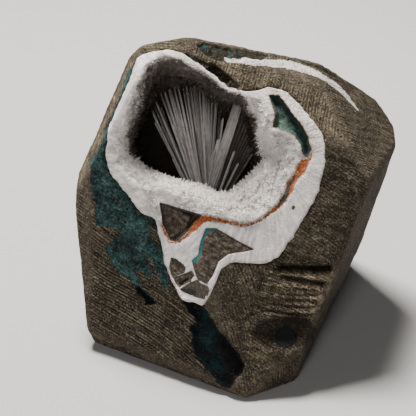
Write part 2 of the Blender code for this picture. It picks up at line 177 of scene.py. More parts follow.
def depth_inside(points, outline):
    """How far points (a, b) lie inside a closed outline, in mm, and negative outside it."""
    start = np.array(outline, float)
    sides = np.roll(start, -1, axis=0) - start
    nearest = np.full(len(points), 1e9)
    within = np.zeros(len(points), bool)
    for (x, y), (u, v) in zip(start, sides):
        off = points - (x, y)
        share = np.clip((off[:, 0] * u + off[:, 1] * v) / (u * u + v * v), 0, 1)
        nearest = np.minimum(nearest, np.hypot(off[:, 0] - share * u, off[:, 1] - share * v))
        spans = (y > points[:, 1]) != (y + v > points[:, 1])
        within ^= spans & (points[:, 0] < x + (points[:, 1] - y) * u / (v or 1e-9))
    return np.where(within, nearest, -nearest)


def inside_any(points, outlines):
    """How far points lie inside the outline that they are deepest in."""
    return np.max([depth_inside(points, outline) for outline in outlines], axis=0, initial=OUTSIDE)


def turned(points, centre, degrees):
    """The places (a, b) of points along and across a direction turned this far."""
    a, b = (points - centre).T
    turn = math.radians(degrees)
    return a * math.cos(turn) + b * math.sin(turn), b * math.cos(turn) - a * math.sin(turn)


def ease(value, low, high):
    """0 below low, 1 above high, and smooth between them."""
    share = np.clip((value - low) / (high - low), 0, 1)
    return share * share * (3 - 2 * share)


def facet_normal(heading, rise):
    heading, rise = math.radians(heading), math.radians(rise)
    flat = math.cos(rise)
    return np.array([math.sin(heading) * flat, -math.cos(heading) * flat, math.sin(rise)])


def points_of(piece, field="co"):
    """The piece's vertex places in mm, or its vertex normals."""
    flat = np.empty(len(piece.data.vertices) * 3)
    if field == "co":
        piece.data.vertices.foreach_get("co", flat)
        return flat.reshape(-1, 3) / MM
    piece.data.vertex_normals.foreach_get("vector", flat)
    return flat.reshape(-1, 3)


def put_points(piece, points):
    piece.data.vertices.foreach_set("co", (points * MM).ravel())
    piece.data.update()


def put_fields(piece, **fields):
    """Keeps numbers, or threes of them, at each vertex for the material to read."""
    for name, values in fields.items():
        kind, key = ("FLOAT", "value") if values.ndim == 1 else ("FLOAT_VECTOR", "vector")
        made = piece.data.attributes.new(name, kind, "POINT")
        made.data.foreach_set(key, values.astype(np.float32).ravel())


def take_up(piece):
    """Makes the piece the only one selected, and the active one."""
    bpy.ops.object.select_all(action="DESELECT")
    piece.select_set(True)
    bpy.context.view_layer.objects.active = piece


def merged_copy(node, name):
    """A copy of a solid's mesh under its own name, with its loose triangles joined up."""
    piece = bpy.data.objects.new(name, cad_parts[node].data.copy())
    piece.data.name = name
    piece.data.materials.clear()
    bpy.context.scene.collection.objects.link(piece)
    take_up(piece)
    bpy.ops.object.mode_set(mode="EDIT")
    bpy.ops.mesh.select_all(action="SELECT")
    bpy.ops.mesh.remove_doubles(threshold=1e-6)
    bpy.ops.object.mode_set(mode="OBJECT")
    return piece


def apply_modifier(piece, kind, **settings):
    step = piece.modifiers.new(kind.title(), kind)
    for name, value in settings.items():
        setattr(step, name, value)
    take_up(piece)
    bpy.ops.object.modifier_apply(modifier=step.name)


def seen_from_mouth(points):
    """The places (a, b) of points as the hollow's mouth is looked at squarely."""
    off = points - HEART
    return np.stack([off @ RIGHT, off @ UP], axis=1)


class Tone:
    """A socket of a material. Its operators add Math nodes, and node() adds any other kind."""

    def __init__(self, tree, socket=None):
        self.tree = tree
        self.socket = socket

    def node(self, kind, settings, sockets, output=0):
        made = self.tree.nodes.new("ShaderNode" + kind)
        for name, value in settings.items():
            if name == "stops":
                for stop, (place, colour) in zip_stops(made.color_ramp, value):
                    stop.position = place
                    stop.color = (*colour, 1)
            else:
                setattr(made, name, value)
        for name, value in sockets.items():
            if isinstance(value, Tone):
                self.tree.links.new(value.socket, made.inputs[name])
            else:
                made.inputs[name].default_value = value
        return Tone(self.tree, made.outputs[output])

    def maths(self, operation, *values):
        return self.node("Math", {"operation": operation}, dict(enumerate(values)))

    def __add__(self, other):
        return self.maths("ADD", self, other)

    def __sub__(self, other):
        return self.maths("SUBTRACT", self, other)

    def __rsub__(self, other):
        return self.maths("SUBTRACT", other, self)

    def __mul__(self, other):
        return self.maths("MULTIPLY", self, other)

    __radd__ = __add__
    __rmul__ = __mul__

    def most(self, other):
        return self.maths("MAXIMUM", self, other)

    def between(self, low, high):
        """0 below low, 1 above high, and smooth between them."""
        sockets = {"Value": self, "From Min": low, "From Max": high}
        return self.node("MapRange", {"interpolation_type": "SMOOTHSTEP"}, sockets)

    def even(self, half=0.14):
        """Noise spread over 0 to 1, since most of it lies this near 0.5."""
        return self.between(0.5 - half, 0.5 + half)

    def ramp(self, *stops):
        """The colour at this value, from stops (value, colour)."""
        return self.node("ValToRGB", {"stops": stops}, {"Fac": self})

    def mixed(self, *layers):
        """This colour with others laid over it in turn: the mask and the colour of each."""
        for mask, colour in zip(layers[::2], layers[1::2]):
            colour = colour if isinstance(colour, Tone) else (*colour, 1)
            self = self.node("Mix", {"data_type": "RGBA"}, {0: mask, 6: self, 7: colour}, 2)
        return self

    def shaded(self, *amounts):
        """This colour made darker or lighter by each number in turn."""
        for amount in amounts:
            self = self.node("VectorMath", {"operation": "SCALE"}, {0: self, "Scale": amount})
        return self

    def noise(self, scale, detail=2.0, rough=0.5):
        sockets = {"Vector": self, "Scale": scale, "Detail": detail, "Roughness": rough}
        return self.node("TexNoise", {}, sockets)

    def stretched(self, *scales):
        return self.node("VectorMath", {"operation": "MULTIPLY"}, {0: self, 1: scales})


def zip_stops(ramp, stops):
    while len(ramp.elements) < len(stops):
        ramp.elements.new(1)
    return zip(ramp.elements, stops)


def finish_material(name, **constants):
    """A new material, its shader and a Tone of its places in mm."""
    made = bpy.data.materials.new(name)
    made.use_nodes = True
    tree = made.node_tree
    shader = tree.nodes["Principled BSDF"]
    for socket, value in constants.items():
        shader.inputs[socket.replace("_", " ")].default_value = value
    place = Tone(tree).node("TexCoord", {}, {}, "Object").stretched(1 / MM, 1 / MM, 1 / MM)
    return made, shader, place


def field(place, name, output="Fac"):
    return place.node("Attribute", {"attribute_name": name}, {}, output)


def lay_on(shader, place, colour, roughness, height, depth):
    """Gives the shader its colour and roughness, and a relief of this many mm."""
    links = place.tree.links
    links.new(colour.socket, shader.inputs["Base Color"])
    links.new(roughness.socket, shader.inputs["Roughness"])
    sockets = {"Height": height, "Distance": depth * MM, "Strength": 1.0}
    relief = place.node("Bump", {}, sockets)
    links.new(relief.socket, shader.inputs["Normal"])


rock = merged_copy("basalt_matrix", "basalt_rock")
apply_modifier(rock, "REMESH", mode="VOXEL", voxel_size=ROCK_GRAIN * MM)
RIND = [
    (-38.5, 61.5), (-28, 65), (-20, 61), (-12, 55.5), (-3.5, 48.5), (3, 47.5), (10.5, 49.5),
    (17, 48.5), (23, 42.5), (28, 36.5), (31.5, 31), (32, 20), (30, 11), (23.5, -1), (15.5, -13.5),
    (10.5, -16.5), (5, -16.5), (-3.5, -16), (-7, -19), (-9.5, -26), (-13.5, -33), (-22, -30.5),
    (-26, -23), (-28, -17), (-30, -6), (-31.5, 1), (-36.5, 2), (-42, 9.5), (-49.5, 18),
    (-51, 24.5), (-50, 34), (-47, 40.5), (-43.5, 48.5), (-40.5, 55),
]
spots = seen_from_mouth(points_of(rock))
soften = rock.vertex_groups.new(name="soften")
off_rind = -depth_inside(spots, RIND)
give = ease(off_rind, 1.5, 5)
for index, amount in enumerate(give):
    soften.add([index], float(amount), "REPLACE")
apply_modifier(rock, "SMOOTH", factor=0.5, iterations=4, vertex_group="soften")
rock.vertex_groups.clear()
polygons = rock.data.polygons
seen = seen_from_mouth(np.array([face.center for face in polygons]) / MM)
square_on = np.array([face.normal for face in polygons]) @ OUTWARD > 0.3
shown = square_on & (depth_inside(seen, RIND) < 2)
polygons.foreach_set("select", shown)
take_up(rock)
bpy.ops.object.mode_set(mode="EDIT")
bpy.ops.mesh.select_mode(type="FACE")
bpy.ops.object.mode_set(mode="OBJECT")
polygons.foreach_set("select", shown)
bpy.ops.object.mode_set(mode="EDIT")
bpy.ops.mesh.subdivide(number_cuts=1)
bpy.ops.object.mode_set(mode="OBJECT")

points = points_of(rock)
normals = points_of(rock, "normal")
spots = seen_from_mouth(points)
a, b = spots.T
off = points - HEART
facing = normals @ OUTWARD
front = ease(facing, 0.05, 0.2) * ease(off @ OUTWARD, 5, 12)
names = list(FACETS)
planes = np.array([facet_normal(*FACETS[name][:2]) for name in names])
heights = off @ planes.T - np.array([FACETS[name][2] for name in names])
order = np.argsort(-heights, axis=1)
nearest = order[:, 0]
rows = np.arange(len(points))
margin = heights[rows, nearest] - heights[rows, order[:, 1]]
ground = ease(heights[rows, nearest], -2.2, -0.9)

across = np.empty(len(points))
along = np.empty(len(points))
for index, name in enumerate(names):
    normal = planes[index]
    level = np.cross([0, 0, 1.0], normal) if abs(normal[2]) < 0.99 else RIGHT.copy()
    level /= np.linalg.norm(level)
    rising = np.cross(normal, level)
    turn = math.radians(FACETS[name][3])
    mine = nearest == index
    along[mine] = off[mine] @ (level * math.cos(turn) + rising * math.sin(turn))
    across[mine] = off[mine] @ (rising * math.cos(turn) - level * math.sin(turn))
steep = (nearest == names.index("front_right")) & (depth_inside(spots, STEEP_MARKS) > 0)
along[steep], across[steep] = turned(spots[steep], 0, STEEP_TURN)
ribbed = (nearest == names.index("front_right")) & (depth_inside(spots, RIBBED) > 0.5)
along[ribbed] = a[ribbed]
across[ribbed] = (b + RIB_FALL * a)[ribbed]
bend = bumps(points, 30, 3) * 1.2 + MARK_SWEEP * (along + 20) * np.abs(along + 20)
# Painted light: the lit facets are painted paler, their lower parts most.
pale = np.array([PAINTED_LIGHT_FACETS.get(name, 0) for name in names])
lower = 1 + 1.9 * ease(-b, -45, -18)
put_fields(
    rock,
    grind=np.stack([across + bend, along, nearest * 7.0 + steep * 3.0], axis=1),
    ground=ground * ease(margin, 0.3, 1.6),
    edge=1 - ease(margin, 0.4, 2.6),
    pale=pale[nearest] * lower * ease(margin, -0.5, 5),
    coarse=np.array([COARSE_FACETS.get(name, 0) for name in names])[nearest],
)


def on_front(*outlines):
    """How far the rock's points lie inside these outlines, which only its front bears."""
    return np.where(front > 0.5, inside_any(spots, outlines), OUTSIDE).clip(OUTSIDE, -OUTSIDE)


teal = np.minimum(on_front(TEAL_LEFT, TEAL_BAND), -on_front(SPIKE))
back_patch = (bumps(points, 27, 5) + 0.35 * bumps(points, 9, 6)) * 9 - 4.6
side_only = ease(-(off @ OUTWARD), -12, 4)
teal = np.maximum(teal, np.minimum(back_patch, 8 * side_only - 2).clip(OUTSIDE, -OUTSIDE))
dark = on_front(DARK_TEAL, LEFT_GAP)
vein = on_front(VEIN)
back_vein = 1.3 - np.abs((off @ np.array([0.35, 0.2, 0.92])) - 9 + 3 * bumps(points, 24, 8))
vein = np.maximum(vein, back_vein - 8 * ease(off @ OUTWARD, -38, -14))
recess = on_front(TOP_RECESS, TOP_SEAM, EDGE_POCKET)
from_spot = np.hypot(*((spots - SCOOP_SPOT) / SPOT_SIZE).T) + 0.12 * bumps(points, 3, 13)
spot = np.where(front > 0.5, 1 - from_spot, OUTSIDE)
put_fields(rock, teal=teal, dark=dark, vein=vein, recess=recess, spot=spot)

rise = 0.22 * bumps(points, 9, 1) + 0.12 * bumps(points, 3.6, 2) + 0.05 * bumps(points, 1.8, 4)
rise += 0.07 * np.sin(across * 2 * math.pi / 3.6 + 2 * bumps(points, 14, 7)) * ground
rise -= ease(teal, -0.3, 0.9) * (TEAL_SINK + 0.2 * bumps(points, 2.6, 9))
rise -= ease(dark, -0.4, 1.4) * (DARK_SINK + 0.45 * bumps(points, 3.4, 10) + 0.2 * bumps(points, 1.7, 11))
rise -= ease(recess, -0.4, 0.8) * (RECESS_SINK + 0.4 * bumps(points, 3, 12))
rise *= ease(points[:, 2], 0.4, 2.5)
cut_back = np.zeros(len(points))
scarp = np.zeros(len(points))
wander = 0.6 * bumps(points, 6, 61) + 0.22 * bumps(points, 1.8, 62)
for left, top, length, depth, height, fall in STEPS:
    run, above = turned(spots, (left, top), fall)
    below = wander - above
    ends = ease(run, 0, 5) * ease(length - run, 0, 1.6)
    notch = ends * depth * ease(below, -0.15, 0.35) * np.clip(1 - below / height, 0, 1)
    cut_back = np.maximum(cut_back, notch)
    # Painted shade: the steep face just under each step's edge is darkened.
    shaded = ease(below, -0.5, 0) * (1 - ease(below, 0.3 * height, 0.75 * height))
    scarp = np.maximum(scarp, ends * shaded * min(1, 0.35 + depth / 3))
steps_at = ease(depth_inside(spots, RIBBED), -1, 2)
ribs = bumps(np.stack([b + RIB_FALL * a, a / 22, a * 0], axis=1), 0.9, 63)
cut_back += steps_at * (0.3 + 0.2 * ribs)
scooped = depth_inside(spots, SCOOP)
slide = np.clip((b + 56) / 17, 0, 1)
cut_back += ease(scooped, -0.1, 1.5 + 2.5 * (1 - slide)) * 2.2 * slide ** 1.3
rise -= cut_back * front
# Painted shade in the scoop, strongest under its upper edge.
painted_scoop_shade = ease(scooped, -0.3, 1.2 + 3 * (1 - slide)) * (0.35 + 0.65 * slide)
# Painted highlight on the ledges below the steps, as if lit from above.
put_fields(
    rock,
    scarp=scarp * (front > 0.5),
    ledge=steps_at * ease(a + b, -24, -4) * (1 - scarp) * (front > 0.5),
    scooped=painted_scoop_shade * (front > 0.5),
)
low, high = np.array(cad_box) / MM
put_points(rock, np.clip(points + normals * rise[:, None], low, high))
take_up(rock)
bpy.ops.object.shade_smooth()

basalt, shader, place = finish_material("ground_basalt", Specular_IOR_Level=0.13)
grind = field(place, "grind", "Vector")
ground = field(place, "ground")
grain = place.noise(1.05, 3, 0.6).even()
crumb = place.noise(2.2, 2, 0.5).even()
mottle = place.noise(0.3, 4, 0.6).even(0.16)
cloud = place.noise(0.07, 3, 0.5).even()
streak = grind.stretched(0.85, 0.05, 1).noise(1.0, 3, 0.55).even(0.12)
hair = grind.stretched(1.9, 0.1, 1).noise(1.0, 1).even()
edge = field(place, "edge")
ragged = place.noise(0.55, 5, 0.6) - 0.5
ragged_fine = place.noise(1.7, 3, 0.6) - 0.5

stone = (grain * 0.35 + mottle * 0.4 + cloud * 0.25).ramp(
    (0.12, (0.022, 0.017, 0.0107)), (0.45, (0.044, 0.0345, 0.0218)), (0.75, (0.072, 0.0575, 0.0378)),
    (1.0, (0.121, 0.0995, 0.069)),
)
lines = grind.node("TexWave", {"bands_direction": "X"}, {
    "Vector": grind, "Scale": 0.245, "Distortion": 1.6, "Detail": 2.0, "Detail Scale": 0.4,
})
marks = lines * (0.3 + streak * 0.4) + hair * 0.3
coarse = 1 + field(place, "coarse") * 1.1
flecks = place.noise(1.25, 2).between(0.585, 0.66)
tan = place.noise(0.85, 3, 0.6).between(0.61, 0.68)
holes = place.node("TexVoronoi", {}, {"Vector": place, "Scale": 0.3}, "Distance")
hole = 1 - holes.between(0.1, 0.17)
soot = place.noise(1.5, 2, 0.5).between(0.61, 0.67)
stone = stone.shaded(
    1 + ground * (marks * 1.5 - 0.62) * coarse,
    0.62 + crumb * 0.76,
    # Painted light: the pale field lightens the lit facets.
    1 + field(place, "pale") * (0.62 + cloud * 0.6),
).mixed(
    flecks * 0.55, (0.185, 0.186, 0.165),
    tan * 0.45, (0.23, 0.17, 0.105),
    hole * 0.85, (0.008, 0.007, 0.005),
    soot * 0.7, (0.012, 0.01, 0.007),
    edge * 0.12, (0.17, 0.14, 0.11),
).shaded(
    # Painted highlight on the step ledges.
    1 + field(place, "ledge") * (0.7 + mottle * 0.6),
    # Painted shade on the steps' steep faces.
    1 - field(place, "scarp") * 0.78,
# Painted shade in the scoop.
).mixed(field(place, "scooped") * 0.72, (0.0075, 0.007, 0.0055))

recess_at = (field(place, "recess") + ragged * 1.6).between(-0.1, 0.5)
moss = place.noise(0.42, 3).between(0.58, 0.66)
deep = place.noise(0.8, 4, 0.6).ramp(
    (0.35, (0.004, 0.004, 0.003)), (0.55, (0.026, 0.021, 0.013)), (0.7, (0.075, 0.058, 0.036)),
).mixed(moss * 0.5, (0.008, 0.065, 0.07))
green_at = (field(place, "teal") + ragged * 2.6 + ragged_fine * 1.4).between(-0.15, 0.35)
crumbs = place.noise(0.9, 5, 0.65)
wash = place.noise(0.2, 4, 0.6).even(0.16)
green = (crumbs.even() * 0.4 + crumb * 0.2 + wash * 0.4).ramp(
    (0.15, (0.003, 0.008, 0.008)), (0.42, (0.012, 0.031, 0.031)), (0.66, (0.026, 0.064, 0.062)),
    (0.92, (0.062, 0.125, 0.118)),
).mixed(
    tan * 0.6, (0.2, 0.12, 0.06),
    hole.most(soot * 0.6), (0.003, 0.004, 0.004),
)
spot_at = field(place, "spot")
dark_at = (field(place, "dark") + ragged * 2.2 + ragged_fine * 1.2).between(-0.15, 0.35)
murk = (place.noise(0.11, 3, 0.5) * 0.7 + place.noise(0.6, 4, 0.6) * 0.3).ramp(
    (0.45, (0.0012, 0.0018, 0.0018)), (0.56, (0.002, 0.009, 0.011)), (0.68, (0.003, 0.03, 0.036)),
).mixed(tan * 0.4, (0.07, 0.06, 0.05))
vein_at = (field(place, "vein") + ragged * 1.5 + ragged_fine * 1.1).between(-0.1, 0.15)
chalk = (grain * 0.6 + mottle * 0.4).ramp((0.1, (0.34, 0.31, 0.285)), (0.5, (0.6, 0.57, 0.55)))
stone = stone.mixed(
    recess_at, deep,
    green_at, green,
    spot_at.between(-0.28, -0.1) * 0.7, (0.004, 0.005, 0.005),
    spot_at.between(-0.05, 0.15) * 0.7, (0.01, 0.0165, 0.0158),
    dark_at, murk,
    vein_at, chalk,
)
relief = marks * ground * 0.6 + grain * 0.35 + crumb * 0.3 - hole * 0.9 - soot * 0.5
relief = relief + green_at * crumbs * 1.2 + dark_at * crumbs * 1.8
lay_on(shader, place, stone, 0.68 + crumb * 0.24, relief, 0.42)
rock.data.materials.append(basalt)
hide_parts("basalt_matrix")
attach(rock, "root")

# The crust: a white zeolite lining that grew inward from the basalt all round the hollow. Ground
# off level with the rock it shows as a thick rind with radiating fibres, an orange seam of iron
# oxide and a pocket of sea-green celadonite. Inside the lip it is soft with fine crystals.
MOUTH = 38
MOUTH_LEAN = 0.195
CENTRE = np.array([-14.0, 28.0])
ROOF_HEIGHT = 37
ROOF_TOP = 62.2
ROOF_FALL = 0.38
LINING = 3.0
BOWL_REACH = 44
LIP = [
    (-36, 59.5), (-28, 63), (-20.5, 59), (-13, 53.5), (-4, 47), (2.5, 46), (9, 45), (11, 40.5),
    (10.5, 35.5), (13.5, 32), (19.5, 30), (23, 24), (22, 18.5), (19, 11), (16, 5.5), (11.5, 1.5),
    (4.5, 0), (-5, 2), (-11.5, 4.5), (-18.5, 8), (-25.5, 9.5), (-30, 11.5), (-35, 11.5),
    (-39, 12.5), (-44, 16.5), (-48.5, 23), (-48, 33), (-44.5, 39.5), (-41.5, 47.5), (-38.5, 54),
]
THROAT = [
    (-42.5, 31), (-41.5, 23), (-38, 20), (-34, 17), (-25.5, 14.5), (-15, 12), (-6.5, 9), (-2, 9.5),
    (11.5, 24), (7.5, 33), (6, 39), (2.5, 44.5), (-4, 46.5), (-12, 52.5), (-20.5, 56),
    (-28, 57), (-33.5, 54), (-37.5, 47), (-41, 40),
]
GREEN_POCKET = [
    (11.5, 47), (15, 46.8), (18, 43.2), (20.8, 39), (24, 35), (26, 31), (27.3, 26), (26.3, 22.8),
    (24.6, 24), (23.5, 28), (21, 31.8), (17.5, 33.3), (13, 34.6), (13.8, 39.5),
]
SEAM = [
    (27.3, 25), (26.6, 22.5), (24.8, 20.6), (23.5, 18.4), (21.8, 16), (19.9, 13.2), (19.4, 11.5),
    (18.3, 9), (17.2, 7.2), (15.4, 4.9), (13.2, 3.1), (9.6, 0.3), (5.8, -1.6), (2.2, -2.5),
    (-2.7, -1.6), (-8.8, -0.3), (-13.1, 0.1), (-15.2, -1.2), (-17.7, -3.7), (-19.6, -6.2),
    (-22.9, -8.8), (-26.4, -9.3), (-28.1, -5.6), (-29.5, -2.6),
]
SEAM_WIDTH = [
    1.2, 2.0, 3.8, 4.3, 2.9, 3.2, 3.6, 2.5, 2.7, 1.8, 1.6, 1.0, 0.8, 1.3, 1.5, 1.8, 2.9, 3.8, 3.2,
    1.8, 1.0, 1.2, 1.4, 0.8,
]
SEAM_MOSS = [
    (20.6, 16.6), (21.6, 15.6), (19.3, 10.5), (18.9, 8), (17, 5.4), (14.5, 3.8), (15, 6),
    (17.2, 9.5), (18.6, 13),
]
CRUST_GRAIN = 0.585
RING_POINTS = 540
CLAST_OUTLINES = {
    "breccia_clast_upper": [
        (-30.3, 6.5), (-23, 4.3), (-13.5, 1.5), (-16.5, -1), (-19, -4.5), (-24, -9), (-26.5, -8.5),
        (-29, -3),
    ],
    "breccia_clast_main": [
        (-12.5, -3.5), (-8.5, -3.5), (0, -8.5), (6.5, -11.8), (2, -12.8), (-3.6, -13.6),
        (-7.6, -16.6), (-9.6, -22), (-12, -25), (-14.8, -24), (-16.3, -22), (-18, -16),
        (-15.5, -14), (-14.5, -8.5),
    ],
    "breccia_clast_left": [(-26, -14.8), (-20.8, -17.8), (-21.4, -20.6), (-25, -21.2)],
    "breccia_clast_lower": [(-24.6, -23.2), (-18.6, -20.8), (-17.2, -22.6), (-22.6, -26.4)],
}
# Thin basalt skins round the smaller fragments, with only threads of white between them.
SKINS = [
    [
        (-26, -15.3), (-24, -15.8), (-20.4, -18.9), (-20.8, -20.6), (-23.4, -21.9), (-25.6, -22.4),
        (-26.5, -19),
    ],
    [
        (-25.1, -23), (-23.4, -22.6), (-20, -21.2), (-18, -20.2), (-17, -22), (-18.8, -24.1),
        (-22.8, -26.6), (-24.2, -25),
    ],
    [
        (-22.3, -27.4), (-18.3, -24.9), (-15.5, -23.6), (-14.6, -25.5), (-14.2, -28), (-12.8, -29.5),
        (-13.2, -31), (-16.5, -30.2), (-19.5, -28.8),
    ],
    [(-15, -24.9), (-11.8, -26.3), (-11.3, -27.2), (-11.9, -29.8), (-12.6, -29), (-13.7, -27.6)],
]
SHADOW_GAP = [
    (-22.9, -27.4), (-21, -27.2), (-18, -27.2), (-16, -28.4), (-16.2, -30), (-18.5, -29.7),
    (-21.5, -28.6),
]
PIT = [(20.1, 4.9), (21.2, 5.3), (21.8, 4.3), (21, 3.3), (20.1, 3.7)]
POCKET_LIGHT = (14.6, 36.8)
POCKET_LIGHT_SIZE = 6
# Where the ground face's fibres seem to spread from.
FIBRE_HEEL = (12, 22)
# How deep the green pocket, the fragments' beds and the seam are sunk, in mm.
POCKET_SINK, BED_SINK, SEAM_SINK = 3.0, 2.2, 0.45


def face_depth(a, b):
    """How deep under the mouth's mean plane the ground face lies at (a, b), its ridges rounded."""
    total = np.zeros(len(a))
    spot = np.outer(a, RIGHT) + np.outer(b, UP)
    for name, plane in zip(names, planes):
        toward = plane @ OUTWARD
        if toward > 0.12:
            out = (FACETS[name][2] - spot @ plane) / toward
            total += np.exp(-(out - MOUTH) / 0.8)
    return MOUTH_LEAN * a + 0.8 * np.log(total)


def reach(outline, angles):
    """How far an outline lies from the hollow's centre at each angle."""
    start = np.array(outline, float) - CENTRE
    side = np.roll(start, -1, axis=0) - start
    far = []
    for angle in angles:
        toward = (math.cos(angle), math.sin(angle))
        spread = toward[0] * side[:, 1] - toward[1] * side[:, 0]
        spread[np.abs(spread) < 1e-9] = 1e-9
        way = (start[:, 0] * side[:, 1] - start[:, 1] * side[:, 0]) / spread
        share = (start[:, 0] * toward[1] - start[:, 1] * toward[0]) / spread
        far.append(way[(way > 0) & (share > -1e-6) & (share < 1 + 1e-6)].max())
    return np.array(far)


def in_hollow(a, b, t):
    out = MOUTH + MOUTH_LEAN * a - t
    return HEART + np.outer(a, RIGHT) + np.outer(b, UP) + np.outer(out, OUTWARD)


def ring(far, t):
    a = CENTRE[0] + far * np.cos(angles)
    b = CENTRE[1] + far * np.sin(angles)
    return a, b, np.broadcast_to(t, len(angles))


def settled(a, b, t, drop=0, cover=0):
    """Drops a section's floor, and keeps its roof under the rock."""
    roof = np.clip((b - CENTRE[1]) / ROOF_HEIGHT, 0, 1)
    return a, np.minimum(b - drop * (1 - roof), ROOF_TOP - cover - ROOF_FALL * t), t


angles = np.linspace(0, math.tau, RING_POINTS, endpoint=False)
far_rind = reach(RIND, angles)
far_lip = reach(LIP, angles)
far_throat = reach(THROAT, angles)
far_lip = np.minimum(far_lip, far_rind - 0.9)
far_throat = np.minimum(far_throat, far_lip - 1.2)
bowl_back = np.minimum(far_rind, BOWL_REACH)
rings = []
for t, scale, drop in ((43.6, 0.3, 9), (36.6, 0.58, 8), (27.6, 0.76, 6), (18, 0.93, 2)):
    a, b, t = ring(bowl_back * scale, t)
    rings.append(settled(a, b, t, drop))
for t in (11, 6, 3):
    rings.append(settled(*ring(far_rind + 0.2, t)))
rim = np.stack([angles * 40, angles * 0, angles * 0], axis=1)
overlap = 0.85 + 0.42 * bumps(rim, 2.6, 41) + 0.32 * bumps(rim, 1.1, 42)
face_rings = [(0, -1.4), (0.001, 0), (0.012, 0.16)] + [(share, 0.18) for share in np.linspace(0.05, 1, 34)]
for share, lift in face_rings:
    far = far_rind + overlap + (far_lip - far_rind - overlap) * share
    a, b, t = ring(far, 0)
    sunk = face_depth(a, b)
    a, b, t = settled(a, b, sunk)
    rings.append((a, b, face_depth(a, b) - lift))
lip_t = rings[-1][2]
for share in np.linspace(0.08, 1, 12):
    turn = share * math.pi / 2
    far = far_lip + (far_throat - far_lip) * math.sin(turn)
    a, b, t = ring(far, 0)
    t = lip_t + (9 - lip_t) * (1 - math.cos(turn))
    rings.append(settled(a, b, t, 0, LINING * share))
for t in (10.5, 12, 14, 16, 18, 20, 23, 26, 29, 31.5, 34, 36, 37):
    scale = np.interp(t, (9, 14, 20, 29, 36, 37), (1, 0.98, 0.94, 0.75, 0.45, 0.3))
    drop = np.interp(t, (9, 14, 20, 29, 36), (0, 3, 5.5, 7, 8.5))
    a, b, t = ring(far_throat * scale, t)
    rings.append(settled(a, b, t, drop, LINING))
shell = np.concatenate([in_hollow(*one) for one in rings])
here = np.arange(len(shell)).reshape(len(rings), RING_POINTS)
after = np.roll(here, -1, axis=1)
faces = np.stack([here[:-1], after[:-1], after[1:], here[1:]], axis=2).reshape(-1, 4).tolist()
faces += here[[0, -1]].tolist()


def new_piece(name, points, faces):
    """A piece made of these points in mm and these faces."""
    mesh = bpy.data.meshes.new(name)
    mesh.from_pydata((points * MM).tolist(), [], faces)
    piece = bpy.data.objects.new(name, mesh)
    bpy.context.scene.collection.objects.link(piece)
    return piece


def face_outward(piece):
    """Turns all of the piece's faces outward."""
    take_up(piece)
    bpy.ops.object.mode_set(mode="EDIT")
    bpy.ops.mesh.select_all(action="SELECT")
    bpy.ops.mesh.normals_make_consistent(inside=False)
    bpy.ops.object.mode_set(mode="OBJECT")


crust = new_piece("zeolite_crust", shell, faces)
face_outward(crust)
apply_modifier(crust, "REMESH", mode="VOXEL", voxel_size=CRUST_GRAIN * MM)

points = points_of(crust)
normals = points_of(crust, "normal")
spots = seen_from_mouth(points)
a, b = spots.T
depth = MOUTH + MOUTH_LEAN * a - (points - HEART) @ OUTWARD
under = depth - face_depth(a, b)
face_on = ease(normals @ OUTWARD, 0.3, 0.6) * ease(-under, -1.2, -0.5)
inward = ease(under, 0.2, 2.5)


def off_line(points, line, widths):
    """How far points lie from a line, less half its width there, in mm."""
    line = np.array(line, float)
    nearest = np.full(len(points), 1e9)
    for start, end, wide, next_wide in zip(line, line[1:], widths, widths[1:]):
        side = end - start
        off = points - start
        share = np.clip(off @ side / (side @ side), 0, 1)
        away = np.hypot(*(off - np.outer(share, side)).T) - (wide + (next_wide - wide) * share) / 2
        nearest = np.minimum(nearest, away)
    return nearest


def on_face(values, deep=3):
    """These values down to this many mm under the crust's face."""
    return np.where(under < deep, values, OUTSIDE)


pocket = on_face(depth_inside(spots, GREEN_POCKET), 5)
seam = on_face(-off_line(spots, SEAM, SEAM_WIDTH), 2.5)
outer_side = depth_inside(spots, SEAM + [(-31, 0), (-44, 30), (-20, 70), (20, 60), (32, 40), (29, 30)])
cut_face = ease(-outer_side, 0, 1.2) * ease(1.2 - under, 0, 0.8)
skin = on_face(inside_any(spots, SKINS))
# Painted shadow: near black in the gap by the small fragments and in a small pit.
gap = on_face(inside_any(spots, [SHADOW_GAP, PIT]))
moss = on_face(depth_inside(spots, SEAM_MOSS))
lit = 1 - np.hypot(*(spots - POCKET_LIGHT).T) / POCKET_LIGHT_SIZE
hold = on_face(inside_any(spots, CLAST_OUTLINES.values()))

# Painted shade: seen squarely from the mouth, the lining is painted dim inside SHADE and dark inside VOID,
# where the hollow lies in shadow.
SHADE = [
    (-44, 26), (-44.3, 30), (-44.5, 34), (-43.5, 37.5), (-43, 41.5), (-41.5, 45.5), (-40.5, 49),
    (-39, 52.5), (-37, 57), (-34, 60), (-30.5, 61.5), (-27.5, 62), (-23, 60.6), (-19.5, 59.2),
    (-15.5, 56.8), (-12.5, 54.6), (-8, 50.9), (-4, 47.7), (0.5, 47), (3, 45), (5, 41.5), (7.5, 39.5),
    (8.5, 33), (9, 28.5), (9, 26), (11.8, 23.8), (5.5, 15.2), (1, 11), (-3, 8), (-6, 7.6), (-8.5, 10),
    (-19.5, 12), (-22, 11.5), (-26.5, 15.2), (-30, 16.5), (-33.5, 16.3), (-37, 18.3), (-40.7, 21.6),
]
VOID = [
    (-41.2, 26), (-40.4, 30.5), (-38.5, 34), (-35.2, 37.5), (-34.2, 42), (-33.4, 46), (-32.4, 50),
    (-31.4, 54), (-29, 56), (-25.5, 56.5), (-21.5, 55.5), (-18, 54.5), (-14, 53), (-10, 51),
    (-8.3, 49.8), (-3.8, 46), (-0.5, 45.4), (1.8, 43.5), (3.5, 40.8), (6.3, 37.5), (6.8, 33),
    (7.6, 28.5), (7.4, 26), (10.2, 23.3), (4.8, 17), (0, 12.8), (-3, 9.8), (-5.8, 9.2), (-8, 11.5),
    (-19.5, 14), (-23, 15.2), (-26.5, 17.2), (-30, 18), (-33.5, 18.3), (-36, 20.3), (-39, 23),
]
# Under the roof the painted shade reaches only this share of full darkness.
ROOF_SHADE_SHARE = 0.72


